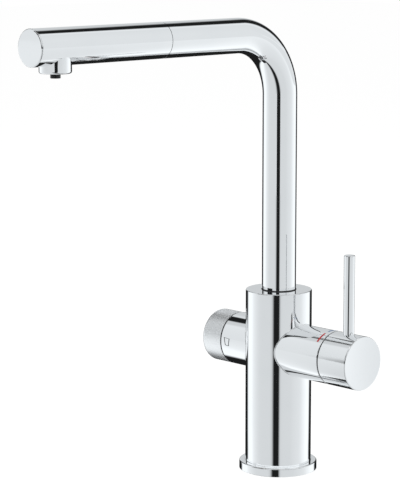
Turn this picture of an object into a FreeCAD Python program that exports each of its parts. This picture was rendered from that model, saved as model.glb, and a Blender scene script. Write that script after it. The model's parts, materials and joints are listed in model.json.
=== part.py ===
"""Pull-out filter kitchen tap, as a parametric document of separate pieces.

Frame, in millimetres: +Z up, origin at the centre of the base ring's underside.
The arm of the spout points along -Y, the mixer along +X and the filter knob along -X.
"""

import FreeCAD, Part
import math
import os
from types import SimpleNamespace

import Sketcher
from FreeCAD import Placement, Rotation, Vector

# Driving dimensions: name, millimetres or degrees, meaning.
SIZES = [
    ("base_ring_flange", 4.5, "ring on the worktop, beyond the body"),
    ("base_ring_height", 6.5, "height of that ring"),
    ("base_ring_round", 1.0, "rounding of its upper rim"),
    ("base_ring_ledge", 4.0, "height of the ledge that the body shell stands on"),
    ("seal_margin", 1.95, "base seal's groove inside the ring's rim"),
    ("seal_width", 2.6, "width of the base seal's groove"),
    ("seal_depth", 1.8, "depth of that groove"),
    ("body_dia", 50.0, "outside of the body shell"),
    ("body_over_handles", 44.1, "top of the body above the handles' axis"),
    ("body_wall", 2.0, "wall of the body shell"),
    ("body_top_plate", 3.0, "thickness of the shell's top"),
    ("body_edge_round", 0.6, "rounding of the shell's upper rim"),
    ("film_gap", 0.05, "gap between faces that are joined or lapped"),
    ("fit_gap", 0.2, "gap around a piece that is fixed in a seat"),
    ("run_gap", 0.1, "radial gap of a turning fit"),
    ("swing_gap", 0.3, "gap around a piece that moves freely"),
    ("core_top_gap", 1.0, "room between the core and the shell's top"),
    ("hose_bore_dia", 16.0, "bore in the core for the pull-out hose"),
    ("port_dia", 7.0, "tapping bore of the M8x1 water ports"),
    ("port_depth", 12.0, "depth of a port"),
    ("passage_dia", 3.4, "drilled water passages"),
    ("mixer_port_side", 8.5, "hot and cold ports, off the middle plane"),
    ("mixer_port_reach", 12.0, "hot and cold ports, out from the body axis"),
    ("mixed_port_reach", 12.8, "mixed-water port, out from the body axis"),
    ("filter_port_side", 6.5, "filter ports, off the middle plane"),
    ("filter_port_reach", 12.0, "filter ports, out from the body axis"),
    ("stud_bore_dia", 6.8, "tapping bore of the M8 fixing studs"),
    ("stud_bore_depth", 14.0, "depth of a stud bore"),
    ("stud_wall", 2.4, "core outside a stud bore"),
    ("tube_dia", 25.8, "outside of the spout tube and the spray head"),
    ("tube_wall", 1.6, "wall of the spout tube"),
    ("arm_height", 331.5, "axis of the arm above the worktop"),
    ("bend_radius", 46.0, "bend of the spout, on its axis"),
    ("socket_web", 2.9, "core between the mixer's seat and the spout's socket"),
    ("washer_height", 1.0, "thrust washer under the spout"),
    ("bush_wall", 1.95, "wall of the swivel bushes"),
    ("lower_bush_height", 5.8, "height of the lower swivel bush"),
    ("upper_bush_gap", 0.8, "upper swivel bush above the clip ring"),
    ("clip_height", 1.2, "thickness of the clip ring"),
    ("clip_bite", 0.8, "depth of the clip ring's groove"),
    ("clip_stand", 1.2, "how far the clip ring stands out of the tube"),
    ("clip_rise", 7.0, "clip ring above the spout's foot"),
    ("stop_screw_dia", 4.0, "screw that limits the swivel"),
    ("stop_screw_rise", 3.0, "screw axis above the spout's foot"),
    ("stop_slot_room", 0.3, "room above and below the screw in the bush's slot"),
    ("swivel_limit", 75.0, "swivel each way, degrees"),
    ("swivel_spare", 1.0, "spare slot past the limit, degrees"),
    ("dock_length", 29.0, "length of the dock bush in the arm's mouth"),
    ("dock_guide_length", 11.0, "length of its hose guide"),
    ("dock_inset", 0.4, "dock bush behind the arm's mouth"),
    ("hose_dia", 12.0, "outside of the pull-out hose"),
    ("hose_wall", 2.0, "wall of the hose"),
    ("filter_tube_dia", 4.4, "filtered-water tube inside the hose"),
    ("filter_tube_wall", 0.8, "wall of that tube"),
    ("hose_foot", 4.2, "lower end of the hose above the worktop"),
    ("fitting_gap", 0.4, "foot fitting inside the core's hose bore"),
    ("fitting_height", 12.0, "height of that fitting"),
    ("head_seam", 121.4, "seam between arm and spray head, from the body axis"),
    ("head_seam_gap", 0.3, "width of that seam"),
    ("tip_reach", 239.2, "end of the spray head, from the body axis"),
    ("head_wall", 1.5, "wall of the spray head's shell"),
    ("end_cap_rim", 0.9, "rim of the end cap that shows"),
    ("end_cap_plug", 4.5, "spigot of the end cap inside the shell"),
    ("end_cap_round", 0.6, "rounding of the end cap's face"),
    ("nozzle_inset", 21.8, "nozzle axis, back from the end of the head"),
    ("nozzle_dia", 22.3, "nozzle collar under the head"),
    ("nozzle_drop", 5.0, "collar below the tube's underside"),
    ("nozzle_round", 1.4, "rounding of the collar's lower rim"),
    ("nozzle_wall", 1.55, "wall of the collar"),
    ("aerator_inset", 0.5, "aerator above the collar's lower rim"),
    ("aerator_height", 8.8, "height of the aerator housing"),
    ("aerator_wall", 1.2, "wall of the aerator housing"),
    ("aerator_lip", 0.9, "lip that carries the aerator insert"),
    ("insert_height", 3.5, "height of the aerator insert"),
    ("insert_holes", 12, "holes around the insert"),
    ("insert_hole_dia", 1.9, "diameter of those holes"),
    ("outlet_dia", 7.0, "black outlet of the filtered water"),
    ("outlet_bore", 4.4, "bore of that outlet"),
    ("outlet_drop", 3.3, "outlet below the collar"),
    ("dock_wall", 1.9, "wall of the dock bush around the head's spigot"),
    ("spigot_length", 16.3, "spigot inside the dock bush"),
    ("shoulder_length", 6.3, "shoulder of the spigot inside the head"),
    ("ferrule_wall", 0.45, "wall of the hose ferrule"),
    ("ferrule_length", 15.0, "length of that ferrule"),
    ("nipple_flange", 1.8, "flange of the hose nipple"),
    ("nipple_wall", 0.8, "wall of the nipple"),
    ("nipple_grip", 10.0, "nipple inside the hose"),
    ("waterway_end_gap", 0.6, "waterway behind the end cap"),
    ("waterway_gap", 0.8, "waterway inside the head's shell"),
    ("mixed_way_dia", 6.4, "mixed-water bore of the waterway"),
    ("mixed_way_rise", 5.0, "that bore above the arm's axis"),
    ("filter_way_dia", 3.8, "filtered-water bore of the waterway"),
    ("filter_way_drop", 5.0, "that bore below the arm's axis"),
    ("feed_side", 5.8, "aerator feeds, off the nozzle axis"),
    ("valve_length", 9.0, "check valve in the mixed-water bore"),
    ("head_seal_wire", 1.8, "section of the ring seal in the head"),
    ("head_seal_place", 16.0, "ring seal from the waterway's rear end"),
    ("handle_step", 5.0, "mixer and filter knob are this much slimmer than the body, on the radius"),
    ("handle_wall", 1.8, "wall of their housings"),
    ("handle_height", 94.4, "axis of both above the worktop"),
    ("housing_root", 8.0, "where a housing's sleeve starts inside the body"),
    ("mixer_seam", 58.2, "end of the mixer housing, from the body axis"),
    ("housing_bevel", 0.8, "bevel of the housing's end"),
    ("cap_seam_gap", 0.5, "seam between housing and cap"),
    ("cap_rim", 0.25, "flat rim of the cap at the seam"),
    ("cap_end", 85.1, "face of the mixer cap, from the body axis"),
    ("cap_round", 0.7, "rounding of that face"),
    ("pivot_inset", 8.2, "cross pin of the lever, back from the mixer's seam"),
    ("dome_gap", 0.4, "gap between dome and cap"),
    ("dome_wall", 1.6, "wall of the dome"),
    ("dome_hole_dia", 26.0, "hole in the dome for the spindle"),
    ("dome_spigot_gap", 1.6, "dome's spigot from the clamp nut"),
    ("rod_dia", 8.1, "lever rod"),
    ("rod_inset", 14.1, "lever rod, back from the cap's face"),
    ("rod_rise", 78.6, "top of the lever rod above the handle axis"),
    ("rod_socket", 15.5, "foot of the rod above the handle axis"),
    ("rod_tail", 5.0, "threaded tail of the rod"),
    ("rod_tail_dia", 4.0, "diameter of that tail"),
    ("rod_round", 0.7, "rounding of the rod's top"),
    ("cartridge_gap", 0.7, "cartridge inside the housing's bore"),
    ("seat_step", 0.3, "cartridge seat behind the core's flank"),
    ("cartridge_base", 10.0, "height of the cartridge base"),
    ("cartridge_wall", 1.9, "wall of the cartridge shell"),
    ("neck_length", 4.0, "neck of the cartridge shell"),
    ("face_seal_dia", 6.0, "face seals of the cartridge"),
    ("face_seal_height", 1.2, "height of a face seal"),
    ("inlet_side", 7.0, "cartridge inlets, off the middle plane"),
    ("inlet_rise", 4.5, "cartridge inlets above the handle axis"),
    ("outlet_fall", 6.5, "cartridge outlet below the handle axis"),
    ("disc_height", 4.5, "height of a mixer disc"),
    ("slide_gap", 0.5, "room beside the moving disc at full flow"),
    ("lift_limit", 22.0, "tilt of the lever at full flow, degrees"),
    ("mixing_recess_dia", 13.0, "recess under the moving disc"),
    ("mixing_recess_depth", 2.0, "depth of that recess"),
    ("mixing_recess_fall", 3.5, "recess below the handle axis"),
    ("carrier_height", 5.8, "height of the disc carrier"),
    ("carrier_floor", 0.9, "floor of the carrier's pocket"),
    ("pocket_gap", 0.25, "gap around the spindle's ball"),
    ("driver_dia", 22.0, "barrel of the driver"),
    ("driver_flange_gap", 0.8, "driver flange inside the cartridge shell"),
    ("driver_flange", 1.2, "thickness of that flange"),
    ("driver_gap", 0.4, "driver above the disc carrier"),
    ("driver_head", 3.5, "driver beyond the cross pin"),
    ("driver_slot", 16.0, "slot of the driver, upright"),
    ("pivot_dia", 4.0, "cross pin of the lever"),
    ("pivot_inset_end", 0.5, "cross pin inside the driver's barrel, at each end"),
    ("pivot_run_gap", 0.05, "radial gap of the spindle on its pin"),
    ("ball_dia", 5.8, "that ball"),
    ("stem_dia", 5.2, "stem between ball and pin"),
    ("hub_dia", 11.0, "hub of the spindle on the pin"),
    ("hub_width", 8.2, "width of that hub"),
    ("square_side", 8.0, "square end of the spindle"),
    ("cap_face", 5.1, "cap in front of the square end"),
    ("nut_height", 3.9, "clamp nut of the cartridge"),
    ("nut_clear", 1.5, "clamp nut around the driver"),
    ("grub_dia", 5.0, "grub screws of cap and knob"),
    ("grub_length", 7.0, "length of a grub screw"),
    ("grub_key_dia", 2.6, "key recess of a grub screw"),
    ("grub_key_depth", 2.5, "depth of that recess"),
    ("cap_grub_inset", 8.6, "grub screw of the cap, back from its face"),
    ("plug_height", 2.0, "plug over a grub screw"),
    ("plug_inset", 0.25, "plug below the surface"),
    ("filter_seam", 42.4, "end of the filter housing, from the body axis"),
    ("knob_seam_gap", 0.4, "seam between filter housing and knob"),
    ("knob_end", 63.3, "face of the filter knob, from the body axis"),
    ("knob_round", 3.0, "rounding of that face"),
    ("knob_wall", 2.2, "wall of the knob"),
    ("knob_face", 7.3, "thickness of the knob's face"),
    ("knob_hub_dia", 16.4, "hub of the knob"),
    ("knob_hub_gap", 1.0, "hub from the valve body's neck"),
    ("knob_grub_inset", 4.4, "grub screw of the knob, back from its face"),
    ("valve_dia", 22.0, "filter valve in the core"),
    ("valve_seal_height", 1.2, "seal under the filter valve"),
    ("valve_seal_wall", 1.4, "width of that seal"),
    ("valve_wall", 1.8, "wall of the filter valve"),
    ("valve_play", 0.5, "end play of the spindle's flange"),
    ("valve_flange_stand", 3.6, "flange of the valve body beyond the body"),
    ("valve_flange", 5.4, "thickness of that flange"),
    ("valve_neck_dia", 16.0, "neck of the valve body"),
    ("valve_neck_length", 11.0, "length of the neck"),
    ("valve_disc_height", 4.0, "height of a filter disc"),
    ("valve_hole_side", 5.5, "holes of the fixed filter disc, off the middle"),
    ("valve_slot_width", 4.0, "slot of the moving filter disc"),
    ("valve_slot_depth", 2.0, "depth of that slot"),
    ("spindle_dia", 8.4, "filter spindle"),
    ("spindle_flange", 2.7, "thickness of that flange"),
    ("knob_skin", 2.1, "knob in front of the spindle"),
    ("spindle_seal_inset", 4.2, "ring seal of the spindle beyond the flange"),
    ("spindle_seal_height", 1.8, "height of its groove"),
    ("spindle_seal_wall", 1.3, "width of that seal"),
]


class Size:
    """A length worked out from cells of the sheet: its expression and its present value."""

    def __init__(self, text, value):
        self.text = text
        self.value = value

    def __add__(self, other):
        other = as_size(other)
        return Size(f"({self.text} + {other.text})", self.value + other.value)

    def __radd__(self, other):
        return as_size(other) + self

    def __sub__(self, other):
        other = as_size(other)
        return Size(f"({self.text} - {other.text})", self.value - other.value)

    def __rsub__(self, other):
        return as_size(other) - self

    def __mul__(self, other):
        other = as_size(other)
        return Size(f"({self.text} * {other.text})", self.value * other.value)

    def __rmul__(self, other):
        return as_size(other) * self

    def __truediv__(self, other):
        other = as_size(other)
        return Size(f"({self.text} / {other.text})", self.value / other.value)

    def __neg__(self):
        return 0 - self


def as_size(number):
    """Gives a plain number the form of a Size."""
    if isinstance(number, Size):
        return number
    return Size(repr(number), float(number))


def root_of(square):
    """Square root of a Size."""
    return Size(f"sqrt({square.text})", math.sqrt(square.value))


def sine(degrees):
    """Sine of an angle that a Size gives in degrees."""
    return Size(f"sin({degrees.text})", math.sin(math.radians(degrees.value)))


def arc_sine(share):
    """Angle in degrees whose sine is the given Size."""
    return Size(f"(asin({share.text}) / 1 deg)", math.degrees(math.asin(share.value)))


doc = FreeCAD.newDocument("filter_tap")
sheet = doc.addObject("Spreadsheet::Sheet", "sizes")
for row, (alias, number, meaning) in enumerate(SIZES, start=1):
    sheet.set(f"A{row}", meaning)
    sheet.set(f"B{row}", str(number))
    sheet.setAlias(f"B{row}", alias)
doc.recompute()
size = SimpleNamespace(**{alias: Size(f"sizes.{alias}", number) for alias, number, _ in SIZES})

# Directions: each turns a piece's own upright axis to the way it points on the tap.
UP = Rotation()
DOWN = Rotation(Vector(1, 0, 0), 180)
RIGHT = Rotation(Vector(0, 1, 0), 90)
LEFT = Rotation(Vector(0, 1, 0), -90)
FRONT = Rotation(Vector(1, 0, 0), 90)
BACK = Rotation(Vector(1, 0, 0), -90)

FULL_TURN = 360
nodes = {}


def bind(item, name, value):
    """Binds a property of a document object to a Size."""
    item.setExpression(name, as_size(value).text)


def place(item, start, way):
    """Points an object along a direction and binds its place."""
    item.Placement = Placement(Vector(), way)
    for axis, value in zip("xyz", start):
        bind(item, f"Placement.Base.{axis}", value)


def keep(item, label):
    """Names a finished piece."""
    item.Label = label
    nodes[label] = item
    return item


def attached_sketch(body, name, role):
    """Makes a sketch on one of a body's own origin planes."""
    sketch = body.newObject("Sketcher::SketchObject", name)
    plane = next(item for item in body.Origin.OriginFeatures if item.Role == role)
    sketch.AttachmentSupport = [(plane, "")]
    sketch.MapMode = "FlatFace"
    return sketch


def fix_point(sketch, line, end, point):
    """Binds both coordinates of a line's end in a sketch."""
    for kind, axis, value in (("DistanceX", -2, point[0]), ("DistanceY", -1, point[1])):
        value = as_size(value)
        if value.text == "0":
            sketch.addConstraint(Sketcher.Constraint("PointOnObject", line, end, axis))
            continue
        index = sketch.addConstraint(Sketcher.Constraint(kind, -1, 1, line, end, value.value))
        name = f"{kind.lower()}_{line}_{end}"
        sketch.renameConstraint(index, name)
        sketch.setExpression(f"Constraints.{name}", value.text)


def turned(label, start, way, corners, rims=(), rounding=0):
    """Turns an outline of (radius, height) corners and rounds the rims named by their corner's number."""
    body = doc.addObject("PartDesign::Body", label)
    sketch = attached_sketch(body, f"{label}_profile", "XZ_Plane")
    points = [Vector(as_size(radius).value, as_size(height).value, 0) for radius, height in corners]
    for index, point in enumerate(points):
        sketch.addGeometry(Part.LineSegment(point, points[(index + 1) % len(points)]), False)
    for index in range(len(points)):
        following = (index + 1) % len(points)
        sketch.addConstraint(Sketcher.Constraint("Coincident", index, 2, following, 1))
    for index, corner in enumerate(corners):
        fix_point(sketch, index, 1, corner)
    turn = body.newObject("PartDesign::Revolution", f"{label}_turn")
    turn.Profile = sketch
    turn.ReferenceAxis = (sketch, ["V_Axis"])
    turn.Angle = FULL_TURN
    if rims:
        doc.recompute()
        fillet = body.newObject("PartDesign::Fillet", f"{label}_round")
        fillet.Base = (turn, [rim_name(turn.Shape, points[index]) for index in rims])
        bind(fillet, "Radius", rounding)
    place(body, start, way)
    return body


def rim_name(shape, corner):
    """Finds the circular edge of a turned shape that a corner of its outline makes."""
    for index, edge in enumerate(shape.Edges, start=1):
        curve = edge.Curve
        if not isinstance(curve, Part.Circle):
            continue
        same_radius = math.isclose(curve.Radius, corner.x, abs_tol=1e-6)
        same_height = math.isclose(curve.Center.z, corner.y, abs_tol=1e-6)
        if same_radius and same_height:
            return f"Edge{index}"
    raise ValueError("no rim at the corner")


def rod(label, radius, length, start, way):
    """A round bar, from its start along a direction."""
    bar = doc.addObject("Part::Cylinder", label)
    bind(bar, "Radius", radius)
    bind(bar, "Height", length)
    place(bar, start, way)
    return bar


def ball(label, radius, centre):
    """A ball about its centre."""
    sphere = doc.addObject("Part::Sphere", label)
    bind(sphere, "Radius", radius)
    place(sphere, centre, UP)
    return sphere


def block(label, low, sides):
    """A block with its sides along X, Y and Z, from its lowest corner."""
    box = doc.addObject("Part::Box", label)
    for name, side in zip(("Length", "Width", "Height"), sides):
        bind(box, name, side)
    place(box, low, UP)
    return box


def ring_outline(inner, outer, low, high):
    """Corners of a plain ring."""
    return [(inner, low), (outer, low), (outer, high), (inner, high)]


def fused(label, *pieces):
    """Joins pieces into one solid."""
    whole = doc.addObject("Part::MultiFuse", label)
    whole.Shapes = list(pieces)
    return whole


def cut(label, base, *tools):
    """Takes tools away from a base."""
    rest = doc.addObject("Part::Cut", label)
    rest.Base = base
    rest.Tool = tools[0] if len(tools) == 1 else fused(f"{label}_tools", *tools)
    return rest


# Values that several pieces share.
body_r = size.body_dia / 2
shell_bore_r = body_r - size.body_wall
core_r = shell_bore_r - size.fit_gap
ring_r = body_r + size.base_ring_flange
body_height = size.handle_height + size.body_over_handles
core_top = body_height - size.body_top_plate - size.core_top_gap
hose_bore_r = size.hose_bore_dia / 2
hose_r = size.hose_dia / 2
hose_inside_r = hose_r - size.hose_wall
tube_r = size.tube_dia / 2
tube_bore_r = tube_r - size.tube_wall
bush_r = tube_r + size.run_gap + size.bush_wall
socket_r = bush_r + size.run_gap
handle_r = body_r - size.handle_step
handle_bore_r = handle_r - size.handle_wall
nut_r = handle_bore_r - size.fit_gap
cartridge_r = handle_bore_r - size.cartridge_gap
cavity_r = cartridge_r - size.cartridge_wall
seat_r = cartridge_r + size.fit_gap
seat_floor = root_of(core_r * core_r - seat_r * seat_r) - size.seat_step
socket_floor = size.handle_height + seat_r + size.socket_web
spout_foot = socket_floor + size.washer_height + size.run_gap
clip_low = spout_foot + size.clip_rise
passage_r = size.passage_dia / 2
passage_reach = (hose_bore_r + seat_floor) / 2
port_r = size.port_dia / 2
spigot_r = tube_bore_r - size.run_gap - size.dock_wall - size.swing_gap
head_bore_r = tube_r - size.head_wall
nozzle_reach = size.tip_reach - size.nozzle_inset
collar_r = size.nozzle_dia / 2
collar_low = size.arm_height - tube_r - size.nozzle_drop
aerator_low = collar_low + size.aerator_inset
aerator_top = aerator_low + size.aerator_height
outlet_r = size.outlet_dia / 2
filter_way_height = size.arm_height - size.filter_way_drop
cartridge_top = seat_floor + size.cartridge_base
moving_disc_low = cartridge_top + size.disc_height + size.film_gap
moving_disc_top = moving_disc_low + size.disc_height
driver_r = size.driver_dia / 2
driver_start = moving_disc_top + size.carrier_height + size.driver_gap
neck_start = driver_start + size.driver_flange + size.fit_gap
cartridge_end = neck_start + size.neck_length
nut_start = cartridge_end + size.film_gap
nut_end = nut_start + size.nut_height
pivot_reach = size.mixer_seam - size.pivot_inset
pivot_centre = (pivot_reach, 0, size.handle_height)
ball_reach = moving_disc_top + size.carrier_floor + size.pocket_gap + size.ball_dia / 2
ball_arm = pivot_reach - ball_reach
moving_disc_r = cavity_r - ball_arm * sine(size.lift_limit) - size.slide_gap
square_end = size.cap_end - size.cap_face
rod_reach = size.cap_end - size.rod_inset
cap_grub_reach = size.cap_end - size.cap_grub_inset
knob_grub_reach = size.knob_end - size.knob_grub_inset
valve_r = size.valve_dia / 2
valve_cavity_r = valve_r - size.valve_wall
valve_disc_r = valve_cavity_r - size.fit_gap
valve_neck_start = body_r + size.valve_flange_stand + size.valve_flange
valve_neck_end = valve_neck_start + size.valve_neck_length
spindle_end = size.knob_end - size.knob_skin - size.fit_gap
handle_axis = (0, 0, size.handle_height)
arm_axis = (0, 0, size.arm_height)
nozzle_axis = (0, -nozzle_reach, 0)


# Base ring, its seal and the body shell.
def build_base():
    seal_out = ring_r - size.seal_margin
    seal_in = seal_out - size.seal_width
    ring = turned("base_ring", (0, 0, 0), UP, [
        (shell_bore_r, 0),
        (seal_in, 0),
        (seal_in, size.seal_depth),
        (seal_out, size.seal_depth),
        (seal_out, 0),
        (ring_r, 0),
        (ring_r, size.base_ring_height),
        (body_r + size.film_gap, size.base_ring_height),
        (body_r + size.film_gap, size.base_ring_ledge),
        (shell_bore_r, size.base_ring_ledge),
    ], rims=[6], rounding=size.base_ring_round)
    keep(ring, "base_ring")
    seal = turned("base_seal", (0, 0, 0), UP, ring_outline(
        seal_in + size.run_gap, seal_out - size.run_gap, 0, size.seal_depth - size.run_gap))
    keep(seal, "base_seal")


def build_body_shell():
    riser_hole_r = tube_r + size.swing_gap
    plate_low = body_height - size.body_top_plate
    blank = turned("body_shell_blank", (0, 0, 0), UP, [
        (shell_bore_r, size.base_ring_ledge),
        (body_r, size.base_ring_ledge),
        (body_r, body_height),
        (riser_hole_r, body_height),
        (riser_hole_r, plate_low),
        (shell_bore_r, plate_low),
    ], rims=[2], rounding=size.body_edge_round)
    branches = rod("body_shell_branches", handle_bore_r, size.body_dia,
                   (-body_r, 0, size.handle_height), RIGHT)
    keep(cut("body_shell", blank, branches), "body_shell")


def branch_sleeve(label, way, seam):
    """Sleeve of a handle's housing, cut to the round of the body."""
    blank = turned(f"{label}_blank", handle_axis, way, [
        (handle_bore_r, size.housing_root),
        (handle_r, size.housing_root),
        (handle_r, seam - size.housing_bevel),
        (handle_r - size.housing_bevel, seam),
        (handle_bore_r, seam),
    ])
    saddle = rod(f"{label}_saddle", body_r + size.film_gap, body_height, (0, 0, 0), UP)
    keep(cut(label, blank, saddle), label)


def build_housings():
    branch_sleeve("mixer_housing", RIGHT, size.mixer_seam)
    branch_sleeve("filter_housing", LEFT, size.filter_seam)


# Brass core with the seats of both valves, the spout's socket and the water ways.
def water_way(label, port, passage, seat_height, side, way):
    """Port in the core's foot, its upright passage and the drilling into a valve seat."""
    port_start = (port[0], port[1], -size.film_gap)
    return [
        rod(f"{label}_port", port_r, size.port_depth + size.film_gap, port_start, UP),
        rod(f"{label}_passage", passage_r, seat_height, (passage[0], passage[1], 0), UP),
        rod(f"{label}_drilling", passage_r, seat_floor - passage_reach + size.film_gap,
            (passage[0], side, seat_height), way),
    ]


def build_core():
    blank = turned("body_core_blank", (0, 0, 0), UP, [
        (hose_bore_r, 0),
        (core_r, 0),
        (core_r, core_top),
        (socket_r, core_top),
        (socket_r, socket_floor),
        (hose_bore_r, socket_floor),
    ])
    tools = [
        rod("mixer_seat", seat_r, core_r, (seat_floor, 0, size.handle_height), RIGHT),
        rod("filter_seat", valve_r + size.fit_gap, core_r, (-seat_floor, 0, size.handle_height), LEFT),
    ]
    inlet_height = size.handle_height + size.inlet_rise
    for label, sign in (("hot", -1), ("cold", 1)):
        side = sign * size.inlet_side
        port = (size.mixer_port_reach, sign * size.mixer_port_side)
        tools += water_way(label, port, (passage_reach, side), inlet_height, side, RIGHT)
    tools += water_way("mixed", (size.mixed_port_reach, 0), (passage_reach, 0),
                       size.handle_height - size.outlet_fall, 0, RIGHT)
    for label, sign in (("filter_in", -1), ("filter_out", 1)):
        side = sign * size.valve_hole_side
        port = (-size.filter_port_reach, sign * size.filter_port_side)
        tools += water_way(label, port, (-passage_reach, side), size.handle_height, side, LEFT)
    stud_r = size.stud_bore_dia / 2
    stud_reach = core_r - size.stud_wall - stud_r
    for label, sign in (("front_stud", -1), ("rear_stud", 1)):
        stud_start = (0, sign * stud_reach, -size.film_gap)
        tools.append(rod(label, stud_r, size.stud_bore_depth + size.film_gap, stud_start, UP))
    tools.append(rod("stop_screw_bore", size.stop_screw_dia / 2 + size.film_gap, core_r,
                     (0, hose_bore_r, spout_foot + size.stop_screw_rise), BACK))
    keep(cut("body_core", blank, *tools), "body_core")


# Spout: tube, bushes, clip ring, stop screw and dock bush.
def bent_tube(label, outer_r, bore_r, foot, reach):
    """Tube that rises on the body axis, bends forward and runs out along the arm's axis."""
    body = doc.addObject("PartDesign::Body", label)
    profile = attached_sketch(body, f"{label}_profile", "XY_Plane")
    bind(profile, "AttachmentOffset.Base.z", foot)
    for index, radius in enumerate((outer_r, bore_r)):
        profile.addGeometry(Part.Circle(Vector(), Vector(0, 0, 1), as_size(radius).value), False)
        profile.addConstraint(Sketcher.Constraint("Coincident", index, 3, -1, 1))
        rule = profile.addConstraint(Sketcher.Constraint("Radius", index, as_size(radius).value))
        profile.renameConstraint(rule, f"radius_{index}")
        profile.setExpression(f"Constraints.radius_{index}", as_size(radius).text)
    path = attached_sketch(body, f"{label}_path", "YZ_Plane")
    bend_start = size.arm_height - size.bend_radius
    bend = size.bend_radius.value
    low = Vector(0, as_size(foot).value, 0)
    turn_in = Vector(0, bend_start.value, 0)
    turn_out = Vector(-bend, size.arm_height.value, 0)
    far = Vector(-as_size(reach).value, size.arm_height.value, 0)
    circle = Part.Circle(Vector(-bend, bend_start.value, 0), Vector(0, 0, 1), bend)
    path.addGeometry(Part.LineSegment(low, turn_in), False)
    path.addGeometry(Part.ArcOfCircle(circle, 0, math.pi / 2), False)
    path.addGeometry(Part.LineSegment(turn_out, far), False)
    path.addConstraint(Sketcher.Constraint("Tangent", 0, 2, 1, 1))
    path.addConstraint(Sketcher.Constraint("Tangent", 1, 2, 2, 1))
    fix_point(path, 0, 1, (0, foot))
    fix_point(path, 0, 2, (0, bend_start))
    fix_point(path, 2, 2, (-reach, size.arm_height))
    pipe = body.newObject("PartDesign::AdditivePipe", f"{label}_pipe")
    pipe.Profile = profile
    pipe.Spine = (path, ["Edge1", "Edge2", "Edge3"])
    return body


def build_spout():
    mouth = size.head_seam - size.head_seam_gap / 2
    blank = bent_tube("spout_tube_blank", tube_r, tube_bore_r, spout_foot, mouth)
    groove_r = tube_r - size.clip_bite
    groove = turned("clip_groove", (0, 0, 0), UP, ring_outline(
        groove_r, tube_r + size.clip_bite, clip_low, clip_low + size.clip_height + size.run_gap))
    keep(cut("spout_tube", blank, groove), "spout_tube")
    clip = turned("spout_clip_ring", (0, 0, 0), UP, ring_outline(
        groove_r + size.film_gap, tube_r + size.clip_stand,
        clip_low + size.film_gap, clip_low + size.clip_height))
    keep(clip, "spout_clip_ring")
    washer = turned("spout_thrust_washer", (0, 0, 0), UP, ring_outline(
        hose_bore_r, socket_r - size.fit_gap, socket_floor, socket_floor + size.washer_height))
    keep(washer, "spout_thrust_washer")


def build_bushes():
    upper = turned("swivel_bush_upper", (0, 0, 0), UP, ring_outline(
        tube_r + size.run_gap, socket_r - size.film_gap,
        clip_low + size.clip_height + size.upper_bush_gap, core_top))
    keep(upper, "swivel_bush_upper")
    lower_blank = turned("swivel_bush_lower_blank", (0, 0, 0), UP, ring_outline(
        tube_r + size.film_gap, bush_r - size.swing_gap, spout_foot, spout_foot + size.lower_bush_height))
    half_slot = (size.swivel_limit + size.swivel_spare
                 + arc_sine(size.stop_screw_dia / 2 / tube_r))
    slot_low = spout_foot + size.stop_screw_rise - size.stop_screw_dia / 2 - size.stop_slot_room
    slot = rod("stop_slot", bush_r, size.stop_screw_dia + 2 * size.stop_slot_room, (0, 0, slot_low), UP)
    bind(slot, "Angle", 2 * half_slot)
    bind(slot, "Placement.Rotation.Angle", 90 - half_slot)
    keep(cut("swivel_bush_lower", lower_blank, slot), "swivel_bush_lower")
    tip = tube_r + size.swing_gap
    screw = turned("swivel_stop_screw", (0, tip, spout_foot + size.stop_screw_rise), BACK, [
        (0, 0),
        (size.stop_screw_dia / 2, 0),
        (size.stop_screw_dia / 2, core_r - tip - size.fit_gap),
        (size.stop_screw_dia / 4, core_r - tip - size.fit_gap),
        (size.stop_screw_dia / 4, core_r - tip - size.grub_key_depth),
        (0, core_r - tip - size.grub_key_depth),
    ])
    keep(screw, "swivel_stop_screw")


def build_hose():
    hose_end = size.head_seam + size.ferrule_wall
    hose = bent_tube("pull_out_hose", hose_r, hose_inside_r, size.hose_foot, hose_end)
    keep(hose, "pull_out_hose")
    inner_r = size.filter_tube_dia / 2
    inner = bent_tube("filter_tube", inner_r, inner_r - size.filter_tube_wall, size.hose_foot, hose_end)
    keep(inner, "filter_tube")
    fitting_r = hose_bore_r - size.fitting_gap
    fitting = turned("hose_foot_fitting", (0, 0, 0), UP, [
        (hose_inside_r, 0),
        (fitting_r, 0),
        (fitting_r, size.fitting_height),
        (hose_r + size.film_gap, size.fitting_height),
        (hose_r + size.film_gap, size.hose_foot - size.film_gap),
        (hose_inside_r, size.hose_foot - size.film_gap),
    ])
    keep(fitting, "hose_foot_fitting")
    mouth = size.head_seam - size.head_seam_gap / 2 - size.dock_inset
    guide_start = mouth - size.dock_length
    guide_end = guide_start + size.dock_guide_length
    dock = turned("dock_bush", arm_axis, FRONT, [
        (hose_r + size.swing_gap, guide_start),
        (tube_bore_r - size.run_gap, guide_start),
        (tube_bore_r - size.run_gap, mouth),
        (spigot_r + size.swing_gap, mouth),
        (spigot_r + size.swing_gap, guide_end),
        (hose_r + size.swing_gap, guide_end),
    ])
    keep(dock, "dock_bush")


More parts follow.
